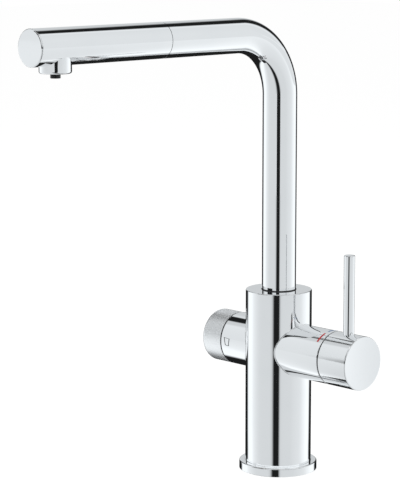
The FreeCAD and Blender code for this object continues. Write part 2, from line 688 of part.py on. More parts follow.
# Spray head.
def build_head_shell():
    start = size.head_seam + size.head_seam_gap / 2
    end = size.tip_reach - size.end_cap_rim
    barrel = rod("head_barrel", tube_r, end - start, (0, -start, size.arm_height), FRONT)
    collar = turned("head_collar", nozzle_axis, UP, [
        (0, collar_low),
        (collar_r, collar_low),
        (collar_r, size.arm_height),
        (0, size.arm_height),
    ], rims=[1], rounding=size.nozzle_round)
    bore = rod("head_bore", head_bore_r, size.tip_reach, arm_axis, FRONT)
    throat = rod("nozzle_bore", collar_r - size.nozzle_wall, tube_r + size.nozzle_drop,
                 (0, -nozzle_reach, collar_low - size.film_gap), UP)
    keep(cut("head_shell", fused("head_solid", barrel, collar), bore, throat), "head_shell")
    plug_r = head_bore_r - size.film_gap
    cap = turned("head_end_cap", arm_axis, FRONT, [
        (0, end - size.end_cap_plug),
        (plug_r, end - size.end_cap_plug),
        (plug_r, end + size.film_gap),
        (tube_r, end + size.film_gap),
        (tube_r, size.tip_reach),
        (0, size.tip_reach),
    ], rims=[4], rounding=size.end_cap_round)
    keep(cap, "head_end_cap")


def build_nozzle():
    aerator_r = collar_r - size.nozzle_wall - size.run_gap
    chamber_r = aerator_r - size.aerator_wall
    housing = turned("aerator_housing", nozzle_axis, UP, [
        (chamber_r - size.aerator_lip, aerator_low),
        (aerator_r, aerator_low),
        (aerator_r, aerator_top),
        (chamber_r, aerator_top),
        (chamber_r, aerator_low + size.aerator_lip),
        (chamber_r - size.aerator_lip, aerator_low + size.aerator_lip),
    ])
    keep(housing, "aerator_housing")
    insert_low = aerator_low + size.aerator_lip
    insert = turned("aerator_insert_blank", nozzle_axis, UP, ring_outline(
        outlet_r + size.film_gap, chamber_r - size.film_gap, insert_low, insert_low + size.insert_height))
    hole_circle = (outlet_r + chamber_r) / 2
    holes = []
    for index in range(size.insert_holes.value):
        turn = math.radians(FULL_TURN * index / size.insert_holes.value)
        centre = (hole_circle * math.cos(turn), hole_circle * math.sin(turn) - nozzle_reach, insert_low)
        holes.append(rod(f"insert_hole_{index}", size.insert_hole_dia / 2, size.insert_height, centre, UP))
    keep(cut("aerator_insert", insert, *holes), "aerator_insert")
    outlet = turned("filter_outlet", nozzle_axis, UP, ring_outline(
        size.outlet_bore / 2, outlet_r, collar_low - size.outlet_drop, filter_way_height))
    keep(outlet, "filter_outlet")


def build_waterway():
    start = size.head_seam + size.head_seam_gap + size.shoulder_length + size.film_gap
    end = size.tip_reach - size.end_cap_rim - size.end_cap_plug - size.waterway_end_gap
    waterway_r = head_bore_r - size.waterway_gap
    wire_r = size.head_seal_wire / 2
    seal_r = head_bore_r - size.film_gap - wire_r
    groove_r = seal_r - wire_r - size.film_gap
    seal_mid = start + size.head_seal_place
    groove_half = wire_r + size.film_gap
    blank = turned("head_waterway_blank", arm_axis, FRONT, [
        (0, start),
        (waterway_r, start),
        (waterway_r, seal_mid - groove_half),
        (groove_r, seal_mid - groove_half),
        (groove_r, seal_mid + groove_half),
        (waterway_r, seal_mid + groove_half),
        (waterway_r, end),
        (0, end),
    ])
    mixed_height = size.arm_height + size.mixed_way_rise
    chamber_top = aerator_top + size.run_gap
    way_length = nozzle_reach - start
    tools = [
        rod("mixed_way", size.mixed_way_dia / 2, way_length, (0, -start, mixed_height), FRONT),
        rod("filter_way", size.filter_way_dia / 2, way_length, (0, -start, filter_way_height), FRONT),
        rod("feed_cross", passage_r, 2 * size.feed_side,
            (-size.feed_side, -nozzle_reach, mixed_height), RIGHT),
        rod("nozzle_chamber", collar_r - size.nozzle_wall, chamber_top - collar_low,
            (0, -nozzle_reach, collar_low), UP),
        rod("outlet_seat", outlet_r + size.film_gap, filter_way_height + size.fit_gap - chamber_top,
            (0, -nozzle_reach, chamber_top), UP),
    ]
    for label, sign in (("left_feed", -1), ("right_feed", 1)):
        feed_start = (sign * size.feed_side, -nozzle_reach, chamber_top)
        tools.append(rod(label, passage_r, mixed_height - chamber_top, feed_start, UP))
    keep(cut("head_waterway", blank, *tools), "head_waterway")
    seal = doc.addObject("Part::Torus", "head_seal")
    bind(seal, "Radius1", seal_r)
    bind(seal, "Radius2", wire_r)
    place(seal, (0, -seal_mid, size.arm_height), FRONT)
    keep(seal, "head_seal")
    check_r = size.mixed_way_dia / 2 - size.run_gap
    valve = turned("check_valve", (0, -start, mixed_height), FRONT, [
        (check_r / 2, 0),
        (check_r, 0),
        (check_r, size.valve_length),
        (0, size.valve_length),
        (0, size.valve_length / 2),
        (check_r / 2, size.valve_length / 2),
    ])
    keep(valve, "check_valve")


def build_dock():
    seam = size.head_seam + size.head_seam_gap / 2
    shoulder_start = seam + size.head_seam_gap / 2
    shoulder_end = shoulder_start + size.shoulder_length
    spigot_start = seam - size.spigot_length
    ferrule_in = hose_r + size.swing_gap
    ferrule_out = ferrule_in + size.ferrule_wall
    cup_r = ferrule_out + size.run_gap
    flange_start = size.head_seam + 2 * size.ferrule_wall
    flange_end = flange_start + size.nipple_flange
    nipple_r = hose_inside_r - size.swing_gap
    spigot = turned("dock_spigot", arm_axis, FRONT, [
        (cup_r, spigot_start),
        (spigot_r, spigot_start),
        (spigot_r, shoulder_start),
        (head_bore_r - size.film_gap, shoulder_start),
        (head_bore_r - size.film_gap, shoulder_end),
        (nipple_r + size.film_gap, shoulder_end),
        (nipple_r + size.film_gap, flange_end + size.film_gap),
        (cup_r, flange_end + size.film_gap),
    ])
    keep(spigot, "dock_spigot")
    ferrule_end = flange_start - size.film_gap
    ferrule = turned("hose_ferrule", arm_axis, FRONT, ring_outline(
        ferrule_in, ferrule_out, ferrule_end - size.ferrule_length, ferrule_end))
    keep(ferrule, "hose_ferrule")
    nipple = turned("hose_nipple", arm_axis, FRONT, [
        (nipple_r - size.nipple_wall, flange_start - size.nipple_grip),
        (nipple_r, flange_start - size.nipple_grip),
        (nipple_r, flange_start),
        (ferrule_out, flange_start),
        (ferrule_out, flange_end),
        (nipple_r, flange_end),
        (nipple_r, shoulder_end - size.film_gap),
        (nipple_r - size.nipple_wall, shoulder_end - size.film_gap),
    ])
    keep(nipple, "hose_nipple")


# Mixer cartridge.
def cartridge_holes(label, start, length, radius):
    """The two inlets and the outlet of the cartridge, as bars from one depth outwards."""
    inlet_height = size.handle_height + size.inlet_rise
    spots = [
        ("hot", -size.inlet_side, inlet_height),
        ("cold", size.inlet_side, inlet_height),
        ("mixed", 0, size.handle_height - size.outlet_fall),
    ]
    return [rod(f"{label}_{name}", radius, length, (start, side, height), RIGHT)
            for name, side, height in spots]


def disc_outline(radius, low, high):
    """Corners of a plain disc."""
    return [(0, low), (radius, low), (radius, high), (0, high)]


def build_cartridge():
    seal_r = size.face_seal_dia / 2
    base_blank = turned("cartridge_base_blank", handle_axis, RIGHT, disc_outline(
        cartridge_r, seat_floor, cartridge_top))
    seats = cartridge_holes("seal_seat", seat_floor, size.face_seal_height, seal_r)
    holes = cartridge_holes("base_hole", seat_floor, size.cartridge_base, passage_r)
    keep(cut("cartridge_base", base_blank, *seats, *holes), "cartridge_base")
    seal_pads = fused("seal_pads", *cartridge_holes(
        "seal_pad", seat_floor, size.face_seal_height - size.film_gap, seal_r - size.film_gap))
    seal_holes = cartridge_holes("seal_hole", seat_floor, size.face_seal_height, passage_r)
    keep(cut("cartridge_seals", seal_pads, *seal_holes), "cartridge_seals")
    fixed_blank = turned("fixed_disc_blank", handle_axis, RIGHT, disc_outline(
        cavity_r - size.fit_gap, cartridge_top, cartridge_top + size.disc_height))
    fixed_holes = cartridge_holes("fixed_hole", cartridge_top, size.disc_height, passage_r)
    keep(cut("fixed_disc", fixed_blank, *fixed_holes), "fixed_disc")
    neck_r = driver_r + size.run_gap
    shell = turned("cartridge_shell", handle_axis, RIGHT, [
        (cavity_r, cartridge_top),
        (cartridge_r, cartridge_top),
        (cartridge_r, cartridge_end),
        (neck_r, cartridge_end),
        (neck_r, neck_start),
        (cavity_r, neck_start),
    ])
    keep(shell, "cartridge_shell")
    nut = turned("cartridge_clamp_nut", handle_axis, RIGHT, ring_outline(
        driver_r + size.nut_clear, nut_r, nut_start, nut_end))
    keep(nut, "cartridge_clamp_nut")


def build_slider():
    disc_blank = turned("moving_disc_blank", handle_axis, RIGHT, disc_outline(
        moving_disc_r, moving_disc_low, moving_disc_top))
    recess = rod("mixing_recess", size.mixing_recess_dia / 2, size.mixing_recess_depth,
                 (moving_disc_low, 0, size.handle_height - size.mixing_recess_fall), RIGHT)
    keep(cut("moving_disc", disc_blank, recess), "moving_disc")
    carrier_blank = turned("disc_carrier_blank", handle_axis, RIGHT, disc_outline(
        moving_disc_r, moving_disc_top, moving_disc_top + size.carrier_height))
    pocket_side = size.ball_dia + 2 * size.pocket_gap
    pocket_low = (moving_disc_top + size.carrier_floor, -pocket_side / 2,
                  size.handle_height - pocket_side / 2)
    pocket = block("ball_pocket", pocket_low, (size.carrier_height, pocket_side, pocket_side))
    keep(cut("disc_carrier", carrier_blank, pocket), "disc_carrier")


def build_driver():
    flange_r = cavity_r - size.driver_flange_gap
    flange_end = driver_start + size.driver_flange
    driver_end = pivot_reach + size.driver_head
    blank = turned("mixer_driver_blank", handle_axis, RIGHT, [
        (0, driver_start),
        (flange_r, driver_start),
        (flange_r, flange_end),
        (driver_r, flange_end),
        (driver_r, driver_end),
        (0, driver_end),
    ])
    slot_width = size.hub_width + 2 * size.fit_gap
    slot_low = (driver_start, -slot_width / 2, size.handle_height - size.driver_slot / 2)
    slot = block("driver_slot", slot_low, (driver_end - driver_start, slot_width, size.driver_slot))
    pin_r = size.pivot_dia / 2
    pin_hole = rod("driver_pin_hole", pin_r + size.film_gap, size.driver_dia,
                   (pivot_reach, -driver_r, size.handle_height), BACK)
    keep(cut("mixer_driver", blank, slot, pin_hole), "mixer_driver")
    pin_half = driver_r - size.pivot_inset_end
    pin = rod("pivot_pin", pin_r, 2 * pin_half, (pivot_reach, -pin_half, size.handle_height), BACK)
    keep(pin, "pivot_pin")


def build_spindle():
    half_side = size.square_side / 2
    parts = [
        ball("spindle_ball", size.ball_dia / 2, (ball_reach, 0, size.handle_height)),
        rod("spindle_stem", size.stem_dia / 2, ball_arm, (ball_reach, 0, size.handle_height), RIGHT),
        rod("spindle_hub", size.hub_dia / 2, size.hub_width,
            (pivot_reach, -size.hub_width / 2, size.handle_height), BACK),
        block("spindle_square", (pivot_reach, -half_side, size.handle_height - half_side),
              (square_end - pivot_reach, size.square_side, size.square_side)),
    ]
    hole = rod("spindle_pin_hole", size.pivot_dia / 2 + size.pivot_run_gap, size.driver_dia,
               (pivot_reach, -driver_r, size.handle_height), BACK)
    keep(cut("lever_spindle", fused("spindle_solid", *parts), hole), "lever_spindle")


# Mixer cap, its dome, lever rod and screw.
def ball_joint_radius():
    """Radius of the cap's hollow about the cross pin, so that its rim keeps a flat land."""
    rise = size.pivot_inset + size.cap_seam_gap
    land = handle_r - size.cap_rim
    return root_of(rise * rise + land * land)


def build_dome():
    dome_r = ball_joint_radius() - size.dome_gap
    shell = cut("dome_skin", ball("dome_ball", dome_r, pivot_centre),
                ball("dome_hollow", dome_r - size.dome_wall, pivot_centre),
                rod("dome_back", 2 * dome_r, 2 * dome_r, (size.mixer_seam, 0, size.handle_height), LEFT))
    spigot = turned("dome_spigot", handle_axis, RIGHT, ring_outline(
        nut_r - size.dome_wall, nut_r, nut_end + size.dome_spigot_gap, size.mixer_seam + size.cap_seam_gap))
    hole = rod("dome_hole", size.dome_hole_dia / 2, 2 * dome_r, pivot_centre, RIGHT)
    keep(cut("dome_cover", fused("dome_solid", shell, spigot), hole), "dome_cover")


def set_screw(label, x_reach, foot):
    """Grub screw under a handle, on a flat or shaft at the given distance from the handle's axis."""
    grub_r = size.grub_dia / 2
    key_r = size.grub_key_dia / 2
    screw = turned(label, (x_reach, 0, size.handle_height - foot), DOWN, [
        (0, 0),
        (grub_r, 0),
        (grub_r, size.grub_length),
        (key_r, size.grub_length),
        (key_r, size.grub_length - size.grub_key_depth),
        (0, size.grub_length - size.grub_key_depth),
    ])
    return keep(screw, label)


def screw_plug(label, x_reach):
    """Flush plug over a grub screw."""
    grub_r = size.grub_dia / 2
    top = root_of(handle_r * handle_r - grub_r * grub_r) - size.plug_inset
    plug_start = (x_reach, 0, size.handle_height - top + size.plug_height)
    return keep(rod(label, grub_r, size.plug_height, plug_start, DOWN), label)


def screw_bore(label, x_reach):
    """Bore for a grub screw and its plug, from a handle's axis down."""
    return rod(label, size.grub_dia / 2 + size.film_gap, 2 * handle_r, (x_reach, 0, size.handle_height), DOWN)


def build_cap():
    rim = size.mixer_seam + size.cap_seam_gap
    blank = turned("mixer_cap_blank", handle_axis, RIGHT, disc_outline(handle_r, rim, size.cap_end),
                   rims=[2], rounding=size.cap_round)
    socket_side = size.square_side + 2 * size.film_gap
    socket_low = (pivot_reach, -socket_side / 2, size.handle_height - socket_side / 2)
    socket_sides = (square_end - pivot_reach + size.fit_gap, socket_side, socket_side)
    rod_r = size.rod_dia / 2
    tail_r = size.rod_tail_dia / 2
    tools = [
        ball("cap_hollow", ball_joint_radius(), pivot_centre),
        block("cap_socket", socket_low, socket_sides),
        rod("rod_socket", rod_r + size.film_gap, size.rod_rise,
            (rod_reach, 0, size.handle_height + size.rod_socket), UP),
        rod("rod_tail_bore", tail_r + size.film_gap, size.rod_socket, (rod_reach, 0, size.handle_height), UP),
        screw_bore("cap_screw_bore", cap_grub_reach),
    ]
    keep(cut("mixer_cap", blank, *tools), "mixer_cap")
    lever = turned("lever_rod", (rod_reach, 0, size.handle_height), UP, [
        (0, size.rod_socket - size.rod_tail),
        (tail_r, size.rod_socket - size.rod_tail),
        (tail_r, size.rod_socket + size.film_gap),
        (rod_r, size.rod_socket + size.film_gap),
        (rod_r, size.rod_rise),
        (0, size.rod_rise),
    ], rims=[4], rounding=size.rod_round)
    keep(lever, "lever_rod")
    set_screw("cap_grub_screw", cap_grub_reach, size.square_side / 2 + size.film_gap)
    screw_plug("cap_plug", cap_grub_reach)


# Filter valve and its knob.
def build_filter_valve():
    spindle_bore_r = size.spindle_dia / 2 + size.run_gap
    ring_out = spindle_bore_r + size.spindle_seal_wall
    ring_low = valve_neck_start + size.spindle_seal_inset
    ring_high = ring_low + size.spindle_seal_height
    valve_start = seat_floor + size.valve_seal_height
    flange_start = body_r + size.valve_flange_stand
    discs_end = seat_floor + 2 * size.valve_disc_height + size.film_gap
    cavity_end = discs_end + size.spindle_flange + size.valve_play
    neck_r = size.valve_neck_dia / 2
    valve = turned("valve_body", handle_axis, LEFT, [
        (valve_cavity_r, valve_start),
        (valve_r, valve_start),
        (valve_r, flange_start),
        (nut_r, flange_start),
        (nut_r, valve_neck_start),
        (neck_r, valve_neck_start),
        (neck_r, valve_neck_end),
        (spindle_bore_r, valve_neck_end),
        (spindle_bore_r, ring_high),
        (ring_out, ring_high),
        (ring_out, ring_low),
        (spindle_bore_r, ring_low),
        (spindle_bore_r, cavity_end),
        (valve_cavity_r, cavity_end),
    ])
    keep(valve, "valve_body")
    ring = turned("valve_spindle_seal", handle_axis, LEFT, ring_outline(
        spindle_bore_r, ring_out - size.film_gap, ring_low + size.film_gap, ring_high - size.film_gap))
    keep(ring, "valve_spindle_seal")
    base_seal = turned("valve_base_seal", handle_axis, LEFT, ring_outline(
        valve_r - size.valve_seal_wall, valve_r, seat_floor, valve_start - size.film_gap))
    keep(base_seal, "valve_base_seal")


def build_filter_discs():
    fixed_top = seat_floor + size.valve_disc_height
    fixed_blank = turned("valve_fixed_disc_blank", handle_axis, LEFT, disc_outline(
        valve_disc_r, seat_floor, fixed_top))
    holes = [rod(f"valve_hole_{index}", passage_r, size.valve_disc_height,
                 (-seat_floor, sign * size.valve_hole_side, size.handle_height), LEFT)
             for index, sign in enumerate((-1, 1))]
    keep(cut("valve_fixed_disc", fixed_blank, *holes), "valve_fixed_disc")
    moving_low = fixed_top + size.film_gap
    moving_top = moving_low + size.valve_disc_height
    moving_blank = turned("valve_moving_disc_blank", handle_axis, LEFT, disc_outline(
        valve_disc_r, moving_low, moving_top))
    slot_length = 2 * size.valve_hole_side + size.passage_dia
    slot_low = (-moving_low - size.valve_slot_depth, -size.valve_slot_width / 2,
                size.handle_height - slot_length / 2)
    slot = block("valve_slot", slot_low, (size.valve_slot_depth, size.valve_slot_width, slot_length))
    keep(cut("valve_moving_disc", moving_blank, slot), "valve_moving_disc")
    spindle_r = size.spindle_dia / 2
    flange_top = moving_top + size.spindle_flange
    spindle = turned("filter_spindle", handle_axis, LEFT, [
        (0, moving_top),
        (valve_disc_r, moving_top),
        (valve_disc_r, flange_top),
        (spindle_r, flange_top),
        (spindle_r, spindle_end),
        (0, spindle_end),
    ])
    keep(spindle, "filter_spindle")


def build_knob():
    rim = size.filter_seam + size.knob_seam_gap
    bore_r = size.spindle_dia / 2 + size.film_gap
    hub_r = size.knob_hub_dia / 2
    inner_r = handle_r - size.knob_wall
    face_inside = size.knob_end - size.knob_face
    bore_end = spindle_end + size.fit_gap
    hub_start = valve_neck_end + size.knob_hub_gap
    blank = turned("filter_knob_blank", handle_axis, LEFT, [
        (inner_r, rim),
        (handle_r, rim),
        (handle_r, size.knob_end),
        (0, size.knob_end),
        (0, bore_end),
        (bore_r, bore_end),
        (bore_r, hub_start),
        (hub_r, hub_start),
        (hub_r, face_inside),
        (inner_r, face_inside),
    ], rims=[2], rounding=size.knob_round)
    keep(cut("filter_knob", blank, screw_bore("knob_screw_bore", -knob_grub_reach)), "filter_knob")
    set_screw("knob_grub_screw", -knob_grub_reach, size.spindle_dia / 2 + size.film_gap)
    screw_plug("knob_plug", -knob_grub_reach)


def check_document():
    """Stops if any object failed or any piece isn't a valid solid."""
    doc.recompute()
    for item in doc.Objects:
        if "Invalid" in item.State or "Error" in item.State:
            raise RuntimeError(f"{item.Label} failed: {item.State}")
    for label, item in nodes.items():
        if item.Shape.isNull() or not item.Shape.isValid() or not item.Shape.Solids:
            raise RuntimeError(f"{label} is not a valid solid")


def write_pieces():
    """Writes each piece to a file of its own name."""
    os.makedirs("parts", exist_ok=True)
    for label, item in nodes.items():
        item.Shape.exportStep(f"parts/{label}.step")


build_base()
build_body_shell()
build_housings()
build_core()
build_spout()
build_bushes()
build_hose()
build_head_shell()
build_nozzle()
build_waterway()
build_dock()
build_cartridge()
build_slider()
build_driver()
build_spindle()
build_dome()
build_cap()
build_filter_valve()
build_filter_discs()
build_knob()
check_document()
write_pieces()
print(len(nodes), "pieces")
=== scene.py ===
"""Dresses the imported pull-out filter tap.

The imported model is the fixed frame. The outer chrome pieces are turned again here with fine rims and
seams, the seals, the printed marks and the braided hose are added, and every piece that stays from
the frame gets a finish of its own. Sizes in the classes are millimetres, as in the part's own source.
"""

import json
import logging
import math
from dataclasses import dataclass
from enum import Enum
from typing import Callable, Optional, Sequence, Union

import bpy
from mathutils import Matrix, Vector


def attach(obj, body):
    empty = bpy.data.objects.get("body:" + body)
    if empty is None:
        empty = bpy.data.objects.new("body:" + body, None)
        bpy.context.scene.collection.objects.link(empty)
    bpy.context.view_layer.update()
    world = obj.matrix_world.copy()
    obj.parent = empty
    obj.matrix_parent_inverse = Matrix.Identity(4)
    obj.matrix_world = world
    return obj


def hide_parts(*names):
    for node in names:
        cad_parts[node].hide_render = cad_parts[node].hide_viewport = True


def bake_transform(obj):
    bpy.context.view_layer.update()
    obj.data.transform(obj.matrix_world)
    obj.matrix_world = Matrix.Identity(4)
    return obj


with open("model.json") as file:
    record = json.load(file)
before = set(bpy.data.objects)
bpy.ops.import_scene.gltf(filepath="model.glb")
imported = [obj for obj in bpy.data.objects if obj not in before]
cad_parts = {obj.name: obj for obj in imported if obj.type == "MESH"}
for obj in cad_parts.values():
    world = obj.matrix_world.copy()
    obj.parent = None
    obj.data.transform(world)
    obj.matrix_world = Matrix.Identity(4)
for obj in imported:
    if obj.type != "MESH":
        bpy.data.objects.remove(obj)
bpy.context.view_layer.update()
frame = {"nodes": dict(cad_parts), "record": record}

log = logging.getLogger("tap")

MM = 0.001
TURN_STEPS = 144
ARC_STEPS = 6
SUPPORT = 0.12
WIRE_ROUND = 4
SMOOTH_ANGLE = math.radians(32)
WELD = 1e-7
DARK = 0.013
ORIGIN = (0.0, 0.0, 0.0)

BODY_RADIUS = 25.0
HANDLE_HEIGHT = 94.4
SLEEVE_BORE = 18.2
ARM_RADIUS = 12.9
ARM_HEIGHT = 331.5
BEND_RADIUS = 46.0
STRANDS = 12
STRAND_LAY = 4.0

Colour = tuple[float, float, float, float]
Place = tuple[float, float, float]
Pair = tuple[float, float]
Stops = tuple[Pair, ...]


class Axis(Enum):
    """The axis that a piece is turned about, with the direction of its outline's radius."""

    X = ((1.0, 0.0, 0.0), (0.0, 0.0, 1.0))
    Y = ((0.0, 1.0, 0.0), (0.0, 0.0, 1.0))
    Z = ((0.0, 0.0, 1.0), (1.0, 0.0, 0.0))

    @property
    def along(self) -> Vector:
        """Direction of the axis."""
        return Vector(self.value[0])

    @property
    def side(self) -> Vector:
        """Direction of the outline's radius."""
        return Vector(self.value[1])


class Slot(Enum):
    """The record's material slots."""

    CHROME_TUBE = "chrome_tube"
    CHROME_BODY = "chrome_body"
    CHROME_HANDLE = "chrome_handle"
    CHROME_HEAD = "chrome_head"
    BRASS_CORE = "brass_core"
    STEEL_SMALL = "steel_small"
    SEAL_RUBBER = "seal_rubber"
    BUSH_PLASTIC = "bush_plastic"
    DOCK_PLASTIC = "dock_plastic"
    CARTRIDGE_PLASTIC = "cartridge_plastic"
    WATERWAY_PLASTIC = "waterway_plastic"
    AERATOR_PLASTIC = "aerator_plastic"
    OUTLET_PLASTIC = "outlet_plastic"
    CERAMIC = "ceramic"
    HOSE_BRAID = "hose_braid"
    TUBE_PLASTIC = "tube_plastic"


def math_node(operation: str, swapped: bool = False) -> Callable[..., "Wire"]:
    """Makes a method of Wire for one operation.

    Args:
        operation: the operation of the Math node.
        swapped: whether the other operand comes first.

    Returns:
        The method, which takes another operand where the operation has one.
    """
    def method(wire: "Wire", other: "Operand" = 0.0) -> "Wire":
        """Adds the Math node."""
        first, second = (other, wire) if swapped else (wire, other)
        return wire.board.node("ShaderNodeMath", {"operation": operation}, {0: first, 1: second})

    return method


class Wire:
    """An output socket on which Python's operators and these methods add Math nodes.

    angle_over takes this value as the rise and the other as the run, and size drops the sign.
    """

    def __init__(self, board: "Board", socket: Optional[bpy.types.NodeSocket]) -> None:
        """Keeps the board and the socket."""
        self.board = board
        self.socket = socket

    __add__ = math_node("ADD")
    __radd__ = math_node("ADD", swapped=True)
    __sub__ = math_node("SUBTRACT")
    __rsub__ = math_node("SUBTRACT", swapped=True)
    __mul__ = math_node("MULTIPLY")
    __truediv__ = math_node("DIVIDE")
    __rtruediv__ = math_node("DIVIDE", swapped=True)
    sine = math_node("SINE")
    arcsine = math_node("ARCSINE")
    angle_over = math_node("ARCTAN2")
    larger = math_node("MAXIMUM")
    size = math_node("ABSOLUTE")


Operand = Union[Wire, float, Sequence[float]]


class Board:
    """The node tree of one material or of the world."""

    def __init__(self, tree: bpy.types.NodeTree) -> None:
        """Takes an empty tree."""
        tree.nodes.clear()
        self.tree = tree

    def node(self, kind: str, settings: Optional[dict] = None, inputs: Optional[dict] = None,
             output: Union[int, str] = 0) -> Wire:
        """Adds one node.

        Args:
            kind: Blender's name of the node's type.
            settings: the node's own properties, with a ramp's stops under "stops".
            inputs: values or wires by the socket's name or number.
            output: name or number of the output that is wanted.

        Returns:
            The wire of that output.
        """
        made = self.tree.nodes.new(kind)
        for name, value in (settings or {}).items():
            if name == "stops":
                self._set_stops(made.color_ramp, value)
            else:
                setattr(made, name, value)
        for key, value in (inputs or {}).items():
            socket = made.inputs[key]
            if isinstance(value, Wire):
                self.tree.links.new(value.socket, socket)
            else:
                socket.default_value = value
        return Wire(self, made.outputs[output] if len(made.outputs) else None)

    @staticmethod
    def _set_stops(ramp: bpy.types.ColorRamp, stops: Sequence[tuple[float, Colour]]) -> None:
        """Gives a ramp its stops, in order of their places."""
        while len(ramp.elements) < len(stops):
            ramp.elements.new(1.0)
        for element, (place, colour) in zip(ramp.elements, stops):
            element.position = place
            element.color = colour

    def object_place(self) -> Wire:
        """Object coordinates, in metres."""
        return self.node("ShaderNodeTexCoord", output="Object")

    def moved(self, place: Wire, shift: Place = (0.0, 0.0, 0.0), turn: Place = (0.0, 0.0, 0.0),
              scale: Place = (1.0, 1.0, 1.0)) -> Wire:
        """Coordinates that are scaled, turned and then shifted by a Mapping node."""
        return self.node("ShaderNodeMapping", {"vector_type": "POINT"},
                         {"Vector": place, "Location": shift, "Rotation": turn, "Scale": scale})

    def noise(self, place: Wire, scale: float, detail: float, rough: float = 0.55) -> Wire:
        """A cloudy value from 0 to 1."""
        return self.node("ShaderNodeTexNoise", {"noise_dimensions": "3D"},
                         {"Vector": place, "Scale": scale, "Detail": detail, "Roughness": rough}, "Fac")

    def split(self, place: Wire) -> tuple[Wire, Wire, Wire]:
        """The three numbers of a vector."""
        parts = self.node("ShaderNodeSeparateXYZ", inputs={0: place}).socket.node
        return tuple(Wire(self, parts.outputs[index]) for index in range(3))

    def mixed(self, share: Operand, first: Operand, second: Operand) -> Wire:
        """A colour between two others."""
        return self.node("ShaderNodeMix", {"data_type": "RGBA"}, {0: share, 6: first, 7: second}, 2)

    def stepped(self, value: Operand, low: float, high: float) -> Wire:
        """A value that climbs from 0 to 1 between two limits."""
        return self.node("ShaderNodeMapRange", {"interpolation_type": "SMOOTHSTEP"},
                         {"Value": value, "From Min": low, "From Max": high})

    def bump(self, height: Wire, strength: float, depth: float) -> Wire:
        """A normal that leans with a height."""
        return self.node("ShaderNodeBump",
                         inputs={"Height": height, "Strength": strength, "Distance": depth})

    def principled(self, inputs: dict) -> Wire:
        """The shader of a surface."""
        return self.node("ShaderNodeBsdfPrincipled", inputs=inputs)

    def seen_rays(self) -> Wire:
        """1 for rays from the camera and rays that metal or glass sends on, and 0 for the rest."""
        path = self.node("ShaderNodeLightPath").socket.node
        camera, glossy, through = (
            Wire(self, path.outputs[name])
            for name in ("Is Camera Ray", "Is Glossy Ray", "Is Transmission Ray"))
        return camera.larger(glossy).larger(through)


@dataclass(frozen=True)
class Finish:
    """The look of a material slot, of a printed mark or of a part of the studio."""

    name: str

    def material(self) -> bpy.types.Material:
        """Makes the finish's material."""
        made = bpy.data.materials.new(self.name)
        made.use_nodes = True
        board = Board(made.node_tree)
        board.node("ShaderNodeOutputMaterial", inputs={"Surface": self.shader(board)})
        return made

    def shader(self, board: Board) -> Wire:
        """The finish's own nodes."""
        raise NotImplementedError


@dataclass(frozen=True)
class Patches:
    """Soft patches that a noise leaves: its scale and detail, and the limits of their edge."""

    scale: float
    detail: float
    low: float
    high: float

    def on(self, board: Board, place: Wire) -> Wire:
        """1 inside the patches and 0 between them."""
        return board.stepped(board.noise(place, self.scale, self.detail), self.low, self.high)


@dataclass(frozen=True)
class Chrome(Finish):
    """Polished chrome plate with a faint haze, wiping marks and the plate's slight waviness."""

    tint: Colour = (0.93, 0.937, 0.945, 1.0)
    hazed_tint: Colour = (0.905, 0.914, 0.925, 1.0)
    polish: float = 0.035
    haze: float = 0.035
    clouds: Patches = Patches(42.0, 4.0, 0.45, 0.75)
    cloud_share: float = 0.6
    wipes: Patches = Patches(14.0, 2.0, 0.52, 0.72)
    wipe_turn: Place = (0.3, 0.2, 0.6)
    wipe_scale: Place = (9.0, 60.0, 60.0)
    wave: float = 0.012
    wave_scale: float = 95.0
    wave_depth: float = 0.0004

    def shader(self, board: Board) -> Wire:
        """Haze and wiping marks vary colour and roughness, and slow waves lean the normal."""
        place = board.object_place()
        cloud = self.clouds.on(board, place)
        marks = self.wipes.on(board, board.moved(place, turn=self.wipe_turn, scale=self.wipe_scale))
        dull = cloud * self.cloud_share + marks * (1.0 - self.cloud_share)
        return board.principled({
            "Base Color": board.mixed(dull, self.tint, self.hazed_tint),
            "Metallic": 1.0,
            "Roughness": self.polish + dull * self.haze,
            "Normal": board.bump(board.noise(place, self.wave_scale, 1.0), self.wave, self.wave_depth),
        })


@dataclass(frozen=True)
class TurnedMetal(Finish):
    """Bare metal with the fine rings of turning and a slight tarnish."""

    tint: Colour
    tarnish: Colour
    polish: float = 0.24
    dulling: float = 0.18
    clouds: Patches = Patches(160.0, 5.0, 0.4, 0.8)
    ring_scale: float = 1400.0
    ring_wander: float = 0.6
    relief: float = 0.12
    depth: float = 0.0001

    def shader(self, board: Board) -> Wire:
        """Rings of turning in the bump, tarnish in colour and roughness."""
        place = board.object_place()
        cloud = self.clouds.on(board, place)
        rings = board.node("ShaderNodeTexWave", {"wave_type": "BANDS", "bands_direction": "DIAGONAL"},
                           {"Vector": place, "Scale": self.ring_scale,
                            "Distortion": self.ring_wander}, "Fac")
        return board.principled({
            "Base Color": board.mixed(cloud, self.tint, self.tarnish),
            "Metallic": 1.0,
            "Roughness": self.polish + cloud * self.dulling,
            "Normal": board.bump(rings, self.relief, self.depth),
        })


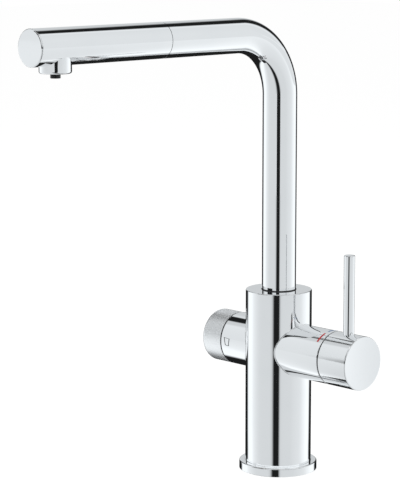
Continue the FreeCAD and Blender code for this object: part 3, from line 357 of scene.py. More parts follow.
@dataclass(frozen=True)
class MouldedPlastic(Finish):
    """Moulded plastic with a fine grain, a slight bloom and rubbed spots."""

    tint: Colour
    bloom: Colour
    gloss: float = 0.42
    dulling: float = 0.12
    rubbing: float = 0.08
    clouds: Patches = Patches(130.0, 4.0, 0.4, 0.75)
    grain: float = 2600.0
    relief: float = 0.18
    depth: float = 0.00006
    specular: float = 0.45

    def shader(self, board: Board) -> Wire:
        """Grain in the bump, bloom in the colour and rubbed spots in the roughness."""
        place = board.object_place()
        cloud = self.clouds.on(board, place)
        grain = board.noise(place, self.grain, 2.0)
        return board.principled({
            "Base Color": board.mixed(cloud, self.tint, self.bloom),
            "Roughness": self.gloss + cloud * self.dulling - grain * self.rubbing,
            "Normal": board.bump(grain, self.relief, self.depth),
            "Specular IOR Level": self.specular,
        })


@dataclass(frozen=True)
class FiredCeramic(Finish):
    """Lapped alumina with fine specks."""

    tint: Colour = (0.82, 0.8, 0.74, 1.0)
    speck: Colour = (0.66, 0.63, 0.56, 1.0)
    specks: Patches = Patches(5200.0, 2.0, 0.62, 0.7)
    polish: float = 0.1
    haze: float = 0.12
    haze_scale: float = 300.0
    relief: float = 0.05
    depth: float = 0.00003

    def shader(self, board: Board) -> Wire:
        """Specks in the colour and lapping haze in the roughness."""
        place = board.object_place()
        specks = self.specks.on(board, place)
        haze = board.noise(place, self.haze_scale, 3.0)
        return board.principled({
            "Base Color": board.mixed(specks, self.tint, self.speck),
            "Roughness": self.polish + haze * self.haze,
            "Normal": board.bump(specks, self.relief, self.depth),
        })


@dataclass(frozen=True)
class Braid(Finish):
    """Nylon braid of the hose: two sets of strands that cross over and under each other, with painted shade
    that darkens the colour from the strand tops into the gaps between them.
    """

    centre: Place = (0.0, -BEND_RADIUS, ARM_HEIGHT)
    strands: int = STRANDS
    lay: float = STRAND_LAY * MM
    light: Colour = (0.50, 0.51, 0.52, 1.0)
    # painted shade: the gaps between the strands take this darker colour
    dark: Colour = (0.16, 0.165, 0.17, 1.0)
    crossing: float = 0.4
    # heights over which the painted shade fades from the gaps to the strand tops
    shade_limits: Pair = (0.2, 0.85)
    thread_scale: float = 3800.0
    thread_relief: float = 0.15
    dullness: float = 0.62
    sheen: float = 0.18
    fuzz: float = 0.1
    relief: float = 0.7
    depth: float = 0.0005
    specular: float = 0.4

    def shader(self, board: Board) -> Wire:
        """Strand heights from the angle round the hose and the way along it; the colour follows the height
        as painted shade in the gaps.
        """
        place = board.moved(board.object_place(), shift=tuple(-value * MM for value in self.centre))
        across, way, rise = board.split(place)
        turn = across.angle_over(rise) * self.strands
        run = way * (math.tau / self.lay)
        right = ((turn + run) * 0.5).sine().size()
        left = ((turn - run) * 0.5).sine().size()
        over = board.stepped(turn.sine() * run.sine(), -self.crossing, self.crossing)
        height = (right * over).larger(left * (1.0 - over))
        # painted shade: the colour darkens with the strand height, from the light strand tops to the dark
        # gaps
        shade = board.stepped(height, *self.shade_limits)
        threads = board.noise(place, self.thread_scale, 2.0)
        return board.principled({
            "Base Color": board.mixed(shade, self.dark, self.light),
            "Roughness": self.dullness - shade * self.sheen + threads * self.fuzz,
            "Normal": board.bump(height + threads * self.thread_relief, self.relief, self.depth),
            "Specular IOR Level": self.specular,
        })


@dataclass(frozen=True)
class PrintedInk(Finish):
    """Pad-printed ink with small pinholes and a worn sheen."""

    tint: Colour
    worn: Colour
    pinholes: Patches = Patches(4200.0, 2.0, 0.62, 0.72)
    gloss: float = 0.34
    dulling: float = 0.2
    relief: float = 0.1
    depth: float = 0.00002

    def shader(self, board: Board) -> Wire:
        """Pinholes in the colour and sheen in the roughness."""
        pin = self.pinholes.on(board, board.object_place())
        return board.principled({
            "Base Color": board.mixed(pin, self.tint, self.worn),
            "Roughness": self.gloss + pin * self.dulling,
            "Normal": board.bump(pin, self.relief, self.depth),
        })


FINISHES: dict[Slot, Finish] = {Slot(finish.name): finish for finish in (
    Chrome("chrome_tube"),
    Chrome("chrome_body"),
    Chrome("chrome_handle", haze=0.045),
    Chrome("chrome_head", haze=0.045, wave=0.016),
    TurnedMetal("brass_core", (0.72, 0.5, 0.22, 1.0), (0.5, 0.33, 0.13, 1.0)),
    TurnedMetal("steel_small", (0.6, 0.6, 0.61, 1.0), (0.46, 0.46, 0.47, 1.0), polish=0.2),
    MouldedPlastic("seal_rubber", (0.012, 0.012, 0.013, 1.0), (0.03, 0.03, 0.032, 1.0),
                   gloss=0.62, grain=1800.0),
    MouldedPlastic("bush_plastic", (0.78, 0.77, 0.73, 1.0), (0.7, 0.69, 0.64, 1.0)),
    MouldedPlastic("dock_plastic", (0.045, 0.047, 0.05, 1.0), (0.075, 0.077, 0.08, 1.0)),
    MouldedPlastic("cartridge_plastic", (0.68, 0.69, 0.7, 1.0), (0.6, 0.61, 0.62, 1.0)),
    MouldedPlastic("waterway_plastic", (0.2, 0.21, 0.22, 1.0), (0.26, 0.27, 0.28, 1.0)),
    MouldedPlastic("aerator_plastic", (0.6, 0.61, 0.62, 1.0), (0.52, 0.53, 0.54, 1.0), gloss=0.36),
    MouldedPlastic("outlet_plastic", (0.018, 0.019, 0.021, 1.0), (0.04, 0.041, 0.044, 1.0), gloss=0.38),
    FiredCeramic("ceramic"),
    Braid("hose_braid"),
    MouldedPlastic("tube_plastic", (0.7, 0.72, 0.74, 1.0), (0.62, 0.64, 0.66, 1.0), gloss=0.25),
)}
CAP_CHROME = Chrome("cap_chrome", polish=0.07, haze=0.05)
KNOB_CHROME = Chrome("knob_chrome", polish=0.42, haze=0.06)


class Cupboard:
    """Keeps one material for each finish that is asked for."""

    def __init__(self) -> None:
        """Starts empty."""
        self._made: dict[str, bpy.types.Material] = {}

    def take(self, finish: Finish) -> bpy.types.Material:
        """The material of a finish, made on its first use."""
        if finish.name not in self._made:
            self._made[finish.name] = finish.material()
        return self._made[finish.name]


@dataclass(frozen=True)
class Corner:
    """A corner of a turned outline: distance from the axis, place along it and rounding."""

    radius: float
    along: float
    round: float = 0.0

    @property
    def point(self) -> Vector:
        """The corner as a flat vector."""
        return Vector((self.radius, self.along))


def even_shares(steps: int) -> list[float]:
    """Shares from nought to one, evenly spaced."""
    return [number / steps for number in range(steps + 1)]


def blend(ends: Pair, share: float) -> float:
    """The value at a share of the way between two ends."""
    return ends[0] + (ends[1] - ends[0]) * share


def corner_points(before: Vector, corner: Corner, after: Vector) -> list[Vector]:
    """Rounds one corner.

    Args:
        before: the outline's corner before it.
        corner: the corner.
        after: the outline's corner after it.

    Returns:
        The arc's points, with a support point on each straight beside it, so that flats stay flat.
    """
    if not corner.round:
        return [corner.point]
    back = (before - corner.point).normalized()
    ahead = (after - corner.point).normalized()
    half = back.angle(ahead) / 2
    reach = corner.round / math.tan(half)
    centre = corner.point + (back + ahead).normalized() * (corner.round / math.sin(half))
    start = corner.point + back * reach
    end = corner.point + ahead * reach
    spread = math.pi - 2 * half
    arc = []
    for share in even_shares(ARC_STEPS):
        first = math.sin((1 - share) * spread) / math.sin(spread)
        second = math.sin(share * spread) / math.sin(spread)
        arc.append(centre + (start - centre) * first + (end - centre) * second)
    return [start + back * SUPPORT, *arc, end + ahead * SUPPORT]


def outline_points(corners: Sequence[Corner], closed: bool) -> list[Vector]:
    """All points of an outline, with its first point again at the end if it is closed."""
    points: list[Vector] = []
    count = len(corners)
    for index, corner in enumerate(corners):
        if not closed and index in (0, count - 1):
            points.append(corner.point)
        else:
            points += corner_points(corners[index - 1].point, corner, corners[(index + 1) % count].point)
    return points + points[:1] if closed else points


def dished(radius: float, rim: float, middle: float, steps: int = 10) -> list[Corner]:
    """Corners of a slightly hollow end face, from near its rim to its middle."""
    shares = reversed(even_shares(steps)[:-1])
    return [Corner(radius * share, blend((middle, rim), share ** 2)) for share in shares]


def straight_steps(radius: float, start: float, end: float, step: float) -> list[Corner]:
    """Corners at even steps along a straight run, its two ends included."""
    count = max(1, round(abs(end - start) / step))
    return [Corner(radius, blend((start, end), share)) for share in even_shares(count)]


class Bench:
    """Modelling steps in edit mode, as by hand."""

    @staticmethod
    def new_point(name: str, place: Vector) -> bpy.types.Object:
        """Adds a mesh of one vertex, and leaves it selected in edit mode.

        Args:
            name: name of the piece.
            place: the vertex's place, in millimetres.

        Returns:
            The piece, whose object sits at the origin.
        """
        bpy.ops.object.select_all(action="DESELECT")
        bpy.ops.mesh.primitive_plane_add(size=MM)
        piece = bpy.context.object
        piece.name = name
        piece.data.name = name
        bpy.ops.object.mode_set(mode="EDIT")
        bpy.ops.mesh.select_all(action="SELECT")
        bpy.ops.mesh.merge(type="CENTER")
        bpy.ops.transform.translate(value=place * MM)
        return piece

    @staticmethod
    def extrude(step: Vector) -> None:
        """Extrudes what is selected by a step in millimetres."""
        bpy.ops.mesh.extrude_region_move(TRANSFORM_OT_translate={"value": step * MM})

    @classmethod
    def extrude_along(cls, places: Sequence[Vector]) -> None:
        """Extrudes what is selected from place to place, and selects all that is there."""
        for before, after in zip(places, places[1:]):
            cls.extrude(after - before)
        bpy.ops.mesh.select_all(action="SELECT")

    @staticmethod
    def close_up() -> None:
        """Merges doubles, turns the faces outwards and leaves edit mode."""
        bpy.ops.mesh.select_all(action="SELECT")
        bpy.ops.mesh.remove_doubles(threshold=WELD)
        bpy.ops.mesh.normals_make_consistent(inside=False)
        bpy.ops.object.mode_set(mode="OBJECT")

    @classmethod
    def turned(cls, name: str, corners: Sequence[Corner], axis: Axis, origin: Place,
               closed: bool = True, steps: int = TURN_STEPS) -> bpy.types.Object:
        """Draws an outline and spins it about an axis.

        Args:
            name: name of the piece.
            corners: the outline.
            axis: axis of the spin.
            origin: a point of that axis, in millimetres.
            closed: whether the outline closes on itself.
            steps: steps of the spin.

        Returns:
            The piece, in object mode.
        """
        base = Vector(origin)
        places = [base + axis.side * point.x + axis.along * point.y
                  for point in outline_points(corners, closed)]
        piece = cls.new_point(name, places[0])
        cls.extrude_along(places)
        bpy.ops.mesh.spin(steps=steps, angle=math.tau, center=base * MM, axis=axis.along)
        cls.close_up()
        return piece

    @classmethod
    def rod(cls, name: str, radius: float, start: float, end: float, axis: Axis,
            origin: Place) -> bpy.types.Object:
        """A plain round rod, used as a cutter."""
        corners = [Corner(0.0, start), Corner(radius, start), Corner(radius, end), Corner(0.0, end)]
        return cls.turned(name, corners, axis, origin, closed=False)

    @staticmethod
    def make_active(piece: bpy.types.Object) -> None:
        """Selects one piece alone."""
        bpy.ops.object.select_all(action="DESELECT")
        piece.select_set(True)
        bpy.context.view_layer.objects.active = piece

    @classmethod
    def apply_modifier(cls, piece: bpy.types.Object, kind: str, **settings: object) -> None:
        """Adds a modifier to a piece and applies it."""
        cls.make_active(piece)
        bpy.ops.object.modifier_add(type=kind)
        modifier = piece.modifiers[-1]
        for name, value in settings.items():
            setattr(modifier, name, value)
        bpy.ops.object.modifier_apply(modifier=modifier.name)

    @classmethod
    def cut(cls, piece: bpy.types.Object, cutter: bpy.types.Object) -> None:
        """Cuts one mesh out of another and removes the cutter."""
        cls.apply_modifier(piece, "BOOLEAN", operation="DIFFERENCE", solver="EXACT", object=cutter)
        bpy.data.objects.remove(cutter, do_unlink=True)

    @classmethod
    def joined(cls, first: bpy.types.Object, *others: bpy.types.Object) -> bpy.types.Object:
        """Joins meshes into the first one's object."""
        cls.make_active(first)
        for other in others:
            other.select_set(True)
        bpy.ops.object.join()
        return first

    @classmethod
    def wire(cls, name: str, places: Sequence[Vector], radius: float) -> bpy.types.Object:
        """Draws a line through places and gives it a round section.

        Args:
            name: name of the piece.
            places: the line's places, in millimetres; where the last is the first, the line closes.
            radius: radius of the section.

        Returns:
            The piece, in object mode.
        """
        piece = cls.new_point(name, places[0])
        cls.extrude_along(places)
        bpy.ops.mesh.remove_doubles(threshold=WELD)
        bpy.ops.object.mode_set(mode="OBJECT")
        bpy.ops.object.convert(target="CURVE")
        piece.data.bevel_depth = radius * MM
        piece.data.bevel_resolution = WIRE_ROUND
        piece.data.use_fill_caps = True
        bpy.ops.object.convert(target="MESH")
        piece.data.name = name
        bpy.ops.object.mode_set(mode="EDIT")
        cls.close_up()
        return piece

    @classmethod
    def ribbon(cls, name: str, places: Sequence[Vector], across: Vector, depth: float) -> bpy.types.Object:
        """Draws a flat stroke along places.

        Args:
            name: name of the piece.
            places: the stroke's middle line, in millimetres.
            across: the stroke's width, as a vector that stays the same along the line.
            depth: its thickness, below the line.

        Returns:
            The piece, in object mode.
        """
        piece = cls.new_point(name, places[0] - across / 2)
        cls.extrude(across)
        bpy.ops.mesh.select_all(action="SELECT")
        cls.extrude_along(places)
        bpy.ops.mesh.normals_make_consistent(inside=False)
        bpy.ops.object.mode_set(mode="OBJECT")
        cls.apply_modifier(piece, "SOLIDIFY", thickness=depth * MM, offset=0.0)
        return piece

    @classmethod
    def smooth(cls, piece: bpy.types.Object) -> None:
        """Shades a piece smooth, with its sharp edges kept."""
        cls.make_active(piece)
        bpy.ops.object.shade_smooth_by_angle(angle=SMOOTH_ANGLE)


@dataclass
class SubAssembly:
    """A group of pieces that builds its meshes and dresses them."""

    cupboard: Cupboard

    def dress(self, piece: bpy.types.Object, slot: Optional[Slot], finish: Optional[Finish] = None) -> None:
        """Gives a piece its shading and its material."""
        Bench.smooth(piece)
        piece.data.materials.clear()
        piece.data.materials.append(self.cupboard.take(finish or FINISHES[slot]))

    def fit(self, piece: bpy.types.Object, body: str, slot: Optional[Slot], *nodes: str,
            finish: Optional[Finish] = None) -> None:
        """Dresses a piece and fixes it to a body of the frame.

        Args:
            piece: the piece.
            body: the body that it rides on.
            slot: the record's slot of its finish; a printed mark has none.
            nodes: the frame's nodes that it stands for.
            finish: its finish, where it isn't the slot's own.
        """
        self.dress(piece, slot, finish)
        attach(piece, body)
        if nodes:
            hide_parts(*nodes)
        log.info("%s rides on %s: %d faces", piece.name, body, len(piece.data.polygons))

    def build(self) -> None:
        """Builds every piece of the group."""
        raise NotImplementedError


@dataclass
class Pillar(SubAssembly):
    """The ring on the worktop and the upright body shell."""

    ring_radius: float = 29.5
    ring_height: float = 6.5
    ring_round: float = 1.0
    foot_round: float = 0.25
    seat_round: float = 0.2
    ledge: float = 4.0
    seal_inner: float = 24.95
    seal_outer: float = 27.55
    seal_depth: float = 1.8
    body_radius: float = BODY_RADIUS
    body_bore: float = 23.0
    body_top: float = 138.5
    top_plate: float = 3.0
    body_round: float = 0.6
    riser_hole: float = 13.2
    hole_round: float = 0.3
    # the wiper is a seal, and its black band is also painted shade for the shadow gap at the riser's foot
    shade_wiper_inner: float = 12.93
    shade_wiper_outer: float = 13.05
    shade_wiper_top: float = 139.35
    shade_wiper_lift: float = 0.2
    shade_wiper_slope: float = 0.3
    shade_wiper_round: float = 0.15
    lip_round: float = 0.2
    seam: float = 0.12
    handle_height: float = HANDLE_HEIGHT
    branch_bore: float = SLEEVE_BORE
    branch_band: float = 19.4
    band_step: float = 1.2

    def build(self) -> None:
        """Turns the ring, the shell and the wiper, whose black band is partly painted shade."""
        self.build_ring()
        self.build_shell()
        self.build_shade_wiper()

    def build_ring(self) -> None:
        """The ring, with its rounded rim, the body's ledge and the seal's groove."""
        seat = self.body_radius + self.seam
        ring = Bench.turned("base_ring_turned", [
            Corner(self.body_bore, 0.0),
            Corner(self.seal_inner, 0.0),
            Corner(self.seal_inner, self.seal_depth),
            Corner(self.seal_outer, self.seal_depth),
            Corner(self.seal_outer, 0.0),
            Corner(self.ring_radius, 0.0, self.foot_round),
            Corner(self.ring_radius, self.ring_height, self.ring_round),
            Corner(seat, self.ring_height, self.seat_round),
            Corner(seat, self.ledge),
            Corner(self.body_bore, self.ledge),
        ], Axis.Z, ORIGIN)
        self.fit(ring, "tap_body", Slot.CHROME_BODY, "base_ring")

    def build_shell(self) -> None:
        """The shell, with fine rows of faces where the handles' branches leave it."""
        low = self.handle_height - self.branch_band
        high = self.handle_height + self.branch_band
        plate = self.body_top - self.top_plate
        shell = Bench.turned("body_shell_turned", [
            Corner(self.body_radius, self.ledge),
            *straight_steps(self.body_radius, low, high, self.band_step),
            Corner(self.body_radius, self.body_top, self.body_round),
            Corner(self.riser_hole, self.body_top, self.hole_round),
            Corner(self.riser_hole, plate),
            Corner(self.body_bore, plate),
            *straight_steps(self.body_bore, high, low, self.band_step),
            Corner(self.body_bore, self.ledge),
        ], Axis.Z, ORIGIN)
        reach = 2 * self.body_radius
        axis_point = (0.0, 0.0, self.handle_height)
        Bench.cut(shell, Bench.rod("branch_cutter", self.branch_bore, -reach, reach, Axis.X, axis_point))
        self.fit(shell, "tap_body", Slot.CHROME_BODY, "body_shell")

    def build_shade_wiper(self) -> None:
        """The black rubber wiper round the riser, where it enters the body; its band above the top plate is
        also painted shade, standing for the shadow gap under the riser's rim.
        """
        foot = self.body_top - self.top_plate + self.shade_wiper_lift
        wiper = Bench.turned("riser_shade_wiper", [
            Corner(self.shade_wiper_inner, foot),
            Corner(self.shade_wiper_outer, foot),
            Corner(self.shade_wiper_outer, self.shade_wiper_top - self.shade_wiper_slope, self.shade_wiper_round),
            Corner(self.shade_wiper_inner, self.shade_wiper_top, self.lip_round),
        ], Axis.Z, ORIGIN)
        self.fit(wiper, "tap_body", Slot.SEAL_RUBBER)


@dataclass(frozen=True)
class Mark:
    """A printed stroke on a sleeve: places along the axis and degrees from the top towards the front."""

    name: str
    line: tuple[Pair, ...]
    ink: PrintedInk
    width: float
    depth: float = 0.1
    step: float = 1.5


RED_INK = PrintedInk("red_ink", (0.56, 0.02, 0.025, 1.0), (0.62, 0.08, 0.08, 1.0))
BLUE_INK = PrintedInk("blue_ink", (0.02, 0.14, 0.36, 1.0), (0.07, 0.22, 0.46, 1.0))
GREY_INK = PrintedInk("grey_ink", (0.045, 0.047, 0.05, 1.0), (0.1, 0.102, 0.108, 1.0))


@dataclass
class Branch(SubAssembly):
    """What the two handles share: a sleeve that leaves the body at right angles.

    kind starts the names of its pieces, and side is 1 for the mixer's side and -1 for the filter's.
    """

    kind: str = ""
    side: int = 1
    seam: float = 0.0
    seam_gap: float = 0.0
    plug_reach: float = 0.0
    marks: tuple[Mark, ...] = ()
    height: float = HANDLE_HEIGHT
    radius: float = 20.0
    bore: float = SLEEVE_BORE
    body_radius: float = BODY_RADIUS
    root: float = 8.0
    saddle_sink: float = 0.5
    bevel: float = 0.8
    bevel_round: float = 0.35
    edge_round: float = 0.15
    plug_radius: float = 2.55
    plug_depth: float = 6.0
    plug_clear: float = 1.0
    plug_band: float = 4.0
    band_step: float = 0.8
    bead: float = 0.5
    # the seal ring in the seam is a gasket and also painted shade that darkens the seam
    seal_inner: float = 18.6
    seal_outer: float = 19.8
    shade_seal_lip: float = 19.55
    shade_seal_sink: float = 0.6
    shade_seal_flat: float = 0.1
    shade_seal_gap: float = 0.1

    @property
    def axis_point(self) -> Place:
        """A point of the handles' axis."""
        return (0.0, 0.0, self.height)

    def build(self) -> None:
        """Builds the housing with its bead and its seal ring, which is partly painted shade in the seam,
        then the handle and the marks.
        """
        self.build_housing()
        self.build_saddle()
        self.build_shade_seal()
        self.build_handle()
        for mark in self.marks:
            self.build_mark(mark)

    def build_handle(self) -> None:
        """Builds what sits on the housing."""
        raise NotImplementedError

    def round_place(self, reach: float, degrees: float) -> Vector:
        """A place on the sleeve, with its angle from the top towards the front."""
        lean = math.radians(degrees)
        return Vector((reach, -self.radius * math.sin(lean), self.height + self.radius * math.cos(lean)))

    def build_housing(self) -> None:
        """The sleeve, whose inner end sinks into the round of the body."""
        sleeve = Bench.turned(self.kind + "_housing_turned", [
            Corner(self.bore, self.side * self.root),
            Corner(self.radius, self.side * self.root),
            Corner(self.radius, self.side * (self.seam - self.bevel), self.bevel_round),
            Corner(self.radius - self.bevel, self.side * self.seam, self.edge_round),
            Corner(self.bore, self.side * self.seam),
        ], Axis.X, self.axis_point)
        Bench.cut(sleeve, Bench.rod("saddle_cutter", self.body_radius - self.saddle_sink, 0.0,
                                    2 * self.height, Axis.Z, ORIGIN))
        self.fit(sleeve, "tap_body", Slot.CHROME_BODY, self.kind + "_housing")

    def build_saddle(self) -> None:
        """The fillet bead along the line where the sleeve leaves the body."""
        places = []
        for step in range(TURN_STEPS):
            place = self.round_place(0.0, 360.0 * step / TURN_STEPS)
            place.x = self.side * math.sqrt(self.body_radius ** 2 - place.y ** 2)
            places.append(place)
        bead = Bench.wire(self.kind + "_saddle_bead", places + places[:1], self.bead)
        self.fit(bead, "tap_body", Slot.CHROME_BODY)

    def build_shade_seal(self) -> None:
        """The black ring in the gap between the sleeve and its handle: partly a gasket, partly painted
        shade that darkens the seam.
        """
        start = self.side * (self.seam - self.shade_seal_sink)
        end = self.side * (self.seam + self.seam_gap - self.shade_seal_gap)
        seal = Bench.turned(self.kind + "_seam_shade_seal", [
            Corner(self.seal_inner, start),
            Corner(self.seal_outer, start),
            Corner(self.seal_outer, self.side * (self.seam + self.shade_seal_flat)),
            Corner(self.shade_seal_lip, end),
            Corner(self.seal_inner, end),
        ], Axis.X, self.axis_point)
        self.fit(seal, "tap_body", Slot.SEAL_RUBBER)

    def build_mark(self, mark: Mark) -> None:
        """A printed stroke that lies on the sleeve."""
        places = []
        for start, end in zip(mark.line, mark.line[1:]):
            count = max(1, math.ceil(abs(end[1] - start[1]) / mark.step))
            for share in even_shares(count)[:-1]:
                places.append(self.round_place(*(blend(ends, share) for ends in zip(start, end))))
        places.append(self.round_place(*mark.line[-1]))
        run = places[-1] - places[0]
        around = places[0].yz.orthogonal().normalized()
        across = Vector((0.0, *around)) if abs(run.x) > run.yz.length else Axis.X.along
        stroke = Bench.ribbon(mark.name, places, across * mark.width, mark.depth)
        self.fit(stroke, "tap_body", None, finish=mark.ink)

    def drill_plug(self, piece: bpy.types.Object) -> None:
        """Drills the hole of a plug into a handle's underside."""
        low = self.height - self.radius
        Bench.cut(piece, Bench.rod("plug_cutter", self.plug_radius, low - self.plug_clear,
                                   low + self.plug_depth, Axis.Z, (self.plug_reach, 0.0, 0.0)))


@dataclass
class MixerSide(Branch):
    """Housing, dome, cap and lever rod of the mixer."""

    kind: str = "mixer"
    seam: float = 58.2
    seam_gap: float = 0.5
    plug_reach: float = 76.5
    pivot: float = 50.0
    dome_radius: float = 21.18
    dome_wall: float = 1.6
    dome_hole: float = 13.0
    dome_back: float = 50.27
    dome_steps: int = 16
    spigot_radius: float = 18.0
    hollow_radius: float = 21.58
    rim_round: float = 0.12
    cap_end: float = 85.1
    cap_round: float = 0.7
    cap_dish: float = 1.0
    rod_reach: float = 71.0
    rod_radius: float = 4.05
    rod_foot: float = 110.2
    rod_top: float = 173.0
    rod_round: float = 0.7
    rod_sides: int = 96
    marks: tuple[Mark, ...] = (
        Mark("hot_mark", ((53.3, 47.0), (53.8, 19.0)), RED_INK, 1.5),
        Mark("cold_mark", ((54.0, 9.0), (54.0, -22.0)), BLUE_INK, 1.5))

    def build_handle(self) -> None:
        """Turns the dome, the cap and the lever rod."""
        self.build_dome()
        self.build_cap()
        self.build_rod()

    def ball_arc(self, radius: float, start: float, end: float) -> list[Corner]:
        """Corners on a sphere about the lever's pivot, between two distances from the axis."""
        ends = (math.asin(start / radius), math.asin(end / radius))
        leans = [blend(ends, share) for share in even_shares(self.dome_steps)]
        return [Corner(radius * math.sin(lean), self.pivot + radius * math.cos(lean)) for lean in leans]

    def build_dome(self) -> None:
        """The dome under the cap, which shows when the lever is lifted."""
        inner = self.dome_radius - self.dome_wall
        rim = math.sqrt(self.dome_radius ** 2 - (self.seam - self.pivot) ** 2)
        throat = self.spigot_radius - self.dome_wall
        dome = Bench.turned("dome_cover_turned", [
            Corner(self.spigot_radius, self.dome_back),
            Corner(self.spigot_radius, self.seam),
            *self.ball_arc(self.dome_radius, rim, self.dome_hole),
            *self.ball_arc(inner, self.dome_hole, throat),
            Corner(throat, self.dome_back),
        ], Axis.X, self.axis_point)
        self.fit(dome, "tap_body", Slot.CHROME_BODY, "dome_cover")

    def build_cap(self) -> None:
        """The cap, hollowed to clear the dome, with its plug hole below."""
        rim = self.seam + self.seam_gap
        lip = math.sqrt(self.hollow_radius ** 2 - (rim - self.pivot) ** 2)
        fine_from, fine_to = self.plug_reach - self.plug_band, self.plug_reach + self.plug_band
        cap = Bench.turned("mixer_cap_turned", [
            *self.ball_arc(self.hollow_radius, 0.0, lip),
            Corner(self.radius, rim, self.rim_round),
            *straight_steps(self.radius, fine_from, fine_to, self.band_step),
            Corner(self.radius, self.cap_end, self.cap_round),
            *dished(self.radius, self.cap_end, self.cap_end - self.cap_dish),
        ], Axis.X, self.axis_point, closed=False)
        self.drill_plug(cap)
        self.fit(cap, "mixer_lever", Slot.CHROME_HANDLE, "mixer_cap", finish=CAP_CHROME)

    def build_rod(self) -> None:
        """The lever rod, with its flat rounded top."""
        rod = Bench.turned("lever_rod_turned", [
            Corner(0.0, self.rod_foot),
            Corner(self.rod_radius, self.rod_foot),
            Corner(self.rod_radius, self.rod_top, self.rod_round),
            Corner(0.0, self.rod_top),
        ], Axis.Z, (self.rod_reach, 0.0, 0.0), closed=False, steps=self.rod_sides)
        self.fit(rod, "mixer_lever", Slot.CHROME_HANDLE, "lever_rod")


@dataclass
class FilterSide(Branch):
    """Housing and knob of the filtered water."""

    kind: str = "filter"
    side: int = -1
    seam: float = 42.4
    seam_gap: float = 0.4
    plug_reach: float = -58.9
    plug_far_band: float = 1.2
    rim_round: float = 0.2
    inner_round: float = 0.6
    knob_end: float = 63.3
    knob_round: float = 3.0
    knob_wall: float = 2.2
    knob_face: float = 7.3
    marks: tuple[Mark, ...] = (
        Mark("tumbler_brim", ((-38.9, 79.4), (-32.9, 80.6)), GREY_INK, 0.8),
        Mark("tumbler_foot", ((-37.6, 95.8), (-33.5, 96.6)), GREY_INK, 0.65),
        Mark("tumbler_left", ((-38.5, 79.6), (-37.2, 96.4)), GREY_INK, 0.65),
        Mark("tumbler_right", ((-33.3, 80.4), (-33.9, 96.8)), GREY_INK, 0.65))

    def build_handle(self) -> None:
        """The knob, a cup with a well rounded face and a plug hole below."""
        rim = -(self.seam + self.seam_gap)
        inner = self.radius - self.knob_wall
        inside = -(self.knob_end - self.knob_face)
        fine_from, fine_to = self.plug_reach + self.plug_band, self.plug_reach - self.plug_far_band
        knob = Bench.turned("filter_knob_turned", [
            Corner(0.0, inside),
            Corner(inner, inside, self.inner_round),
            Corner(inner, rim),
            Corner(self.radius, rim, self.rim_round),
            *straight_steps(self.radius, fine_from, fine_to, self.band_step),
            Corner(self.radius, -self.knob_end, self.knob_round),
            Corner(0.0, -self.knob_end),
        ], Axis.X, self.axis_point, closed=False)
        self.drill_plug(knob)
        self.fit(knob, "filter_handle", Slot.CHROME_HANDLE, "filter_knob", finish=KNOB_CHROME)


@dataclass
class Spout(SubAssembly):
    """The spout's tube: riser, bend and arm in one piece."""

    radius: float = ARM_RADIUS
    wall: float = 1.6
    foot: float = 116.1
    arm_height: float = ARM_HEIGHT
    bend: float = BEND_RADIUS
    mouth: float = -121.25
    bend_steps: int = 72
    rim: float = 0.2

    def build(self) -> None:
        """Sweeps the tube and gives it its wall."""
        tube = self.swept("spout_tube_swept", self.radius, self.foot, self.mouth, TURN_STEPS)
        Bench.apply_modifier(tube, "SOLIDIFY", thickness=self.wall * MM, offset=-1.0, use_even_offset=True)
        self.fit(tube, "spout", Slot.CHROME_TUBE, "spout_tube")

    def swept(self, name: str, radius: float, foot: float, mouth: float, sides: int) -> bpy.types.Object:
        """Sweeps a circle up the riser, round the bend and out along the arm.

        Args:
            name: name of the piece.
            radius: radius of the circle.
            foot: height of its start.
            mouth: place of its end along the arm.
            sides: sides of the circle.

        Returns:
            The piece, open at both ends.
        """
        bpy.ops.object.select_all(action="DESELECT")
        bpy.ops.mesh.primitive_circle_add(vertices=sides, radius=radius * MM, fill_type="NOTHING")
        tube = bpy.context.object
        tube.name = name
        tube.data.name = name
        bend_low = self.arm_height - self.bend
        bpy.ops.object.mode_set(mode="EDIT")
        bpy.ops.mesh.select_all(action="SELECT")
        bpy.ops.transform.translate(value=(0.0, 0.0, foot * MM))
        Bench.extrude(Vector((0.0, 0.0, bend_low - foot - 2 * SUPPORT)))
        Bench.extrude(Vector((0.0, 0.0, 2 * SUPPORT)))
        bpy.ops.mesh.spin(steps=self.bend_steps, angle=-math.pi / 2,
                          center=Vector((0.0, -self.bend, bend_low)) * MM, axis=Axis.X.along)
        Bench.extrude(Vector((0.0, -2 * SUPPORT, 0.0)))
        Bench.extrude(Vector((0.0, mouth + self.rim + self.bend + 2 * SUPPORT, 0.0)))
        Bench.extrude(Vector((0.0, -self.rim, 0.0)))
        Bench.close_up()
        return tube


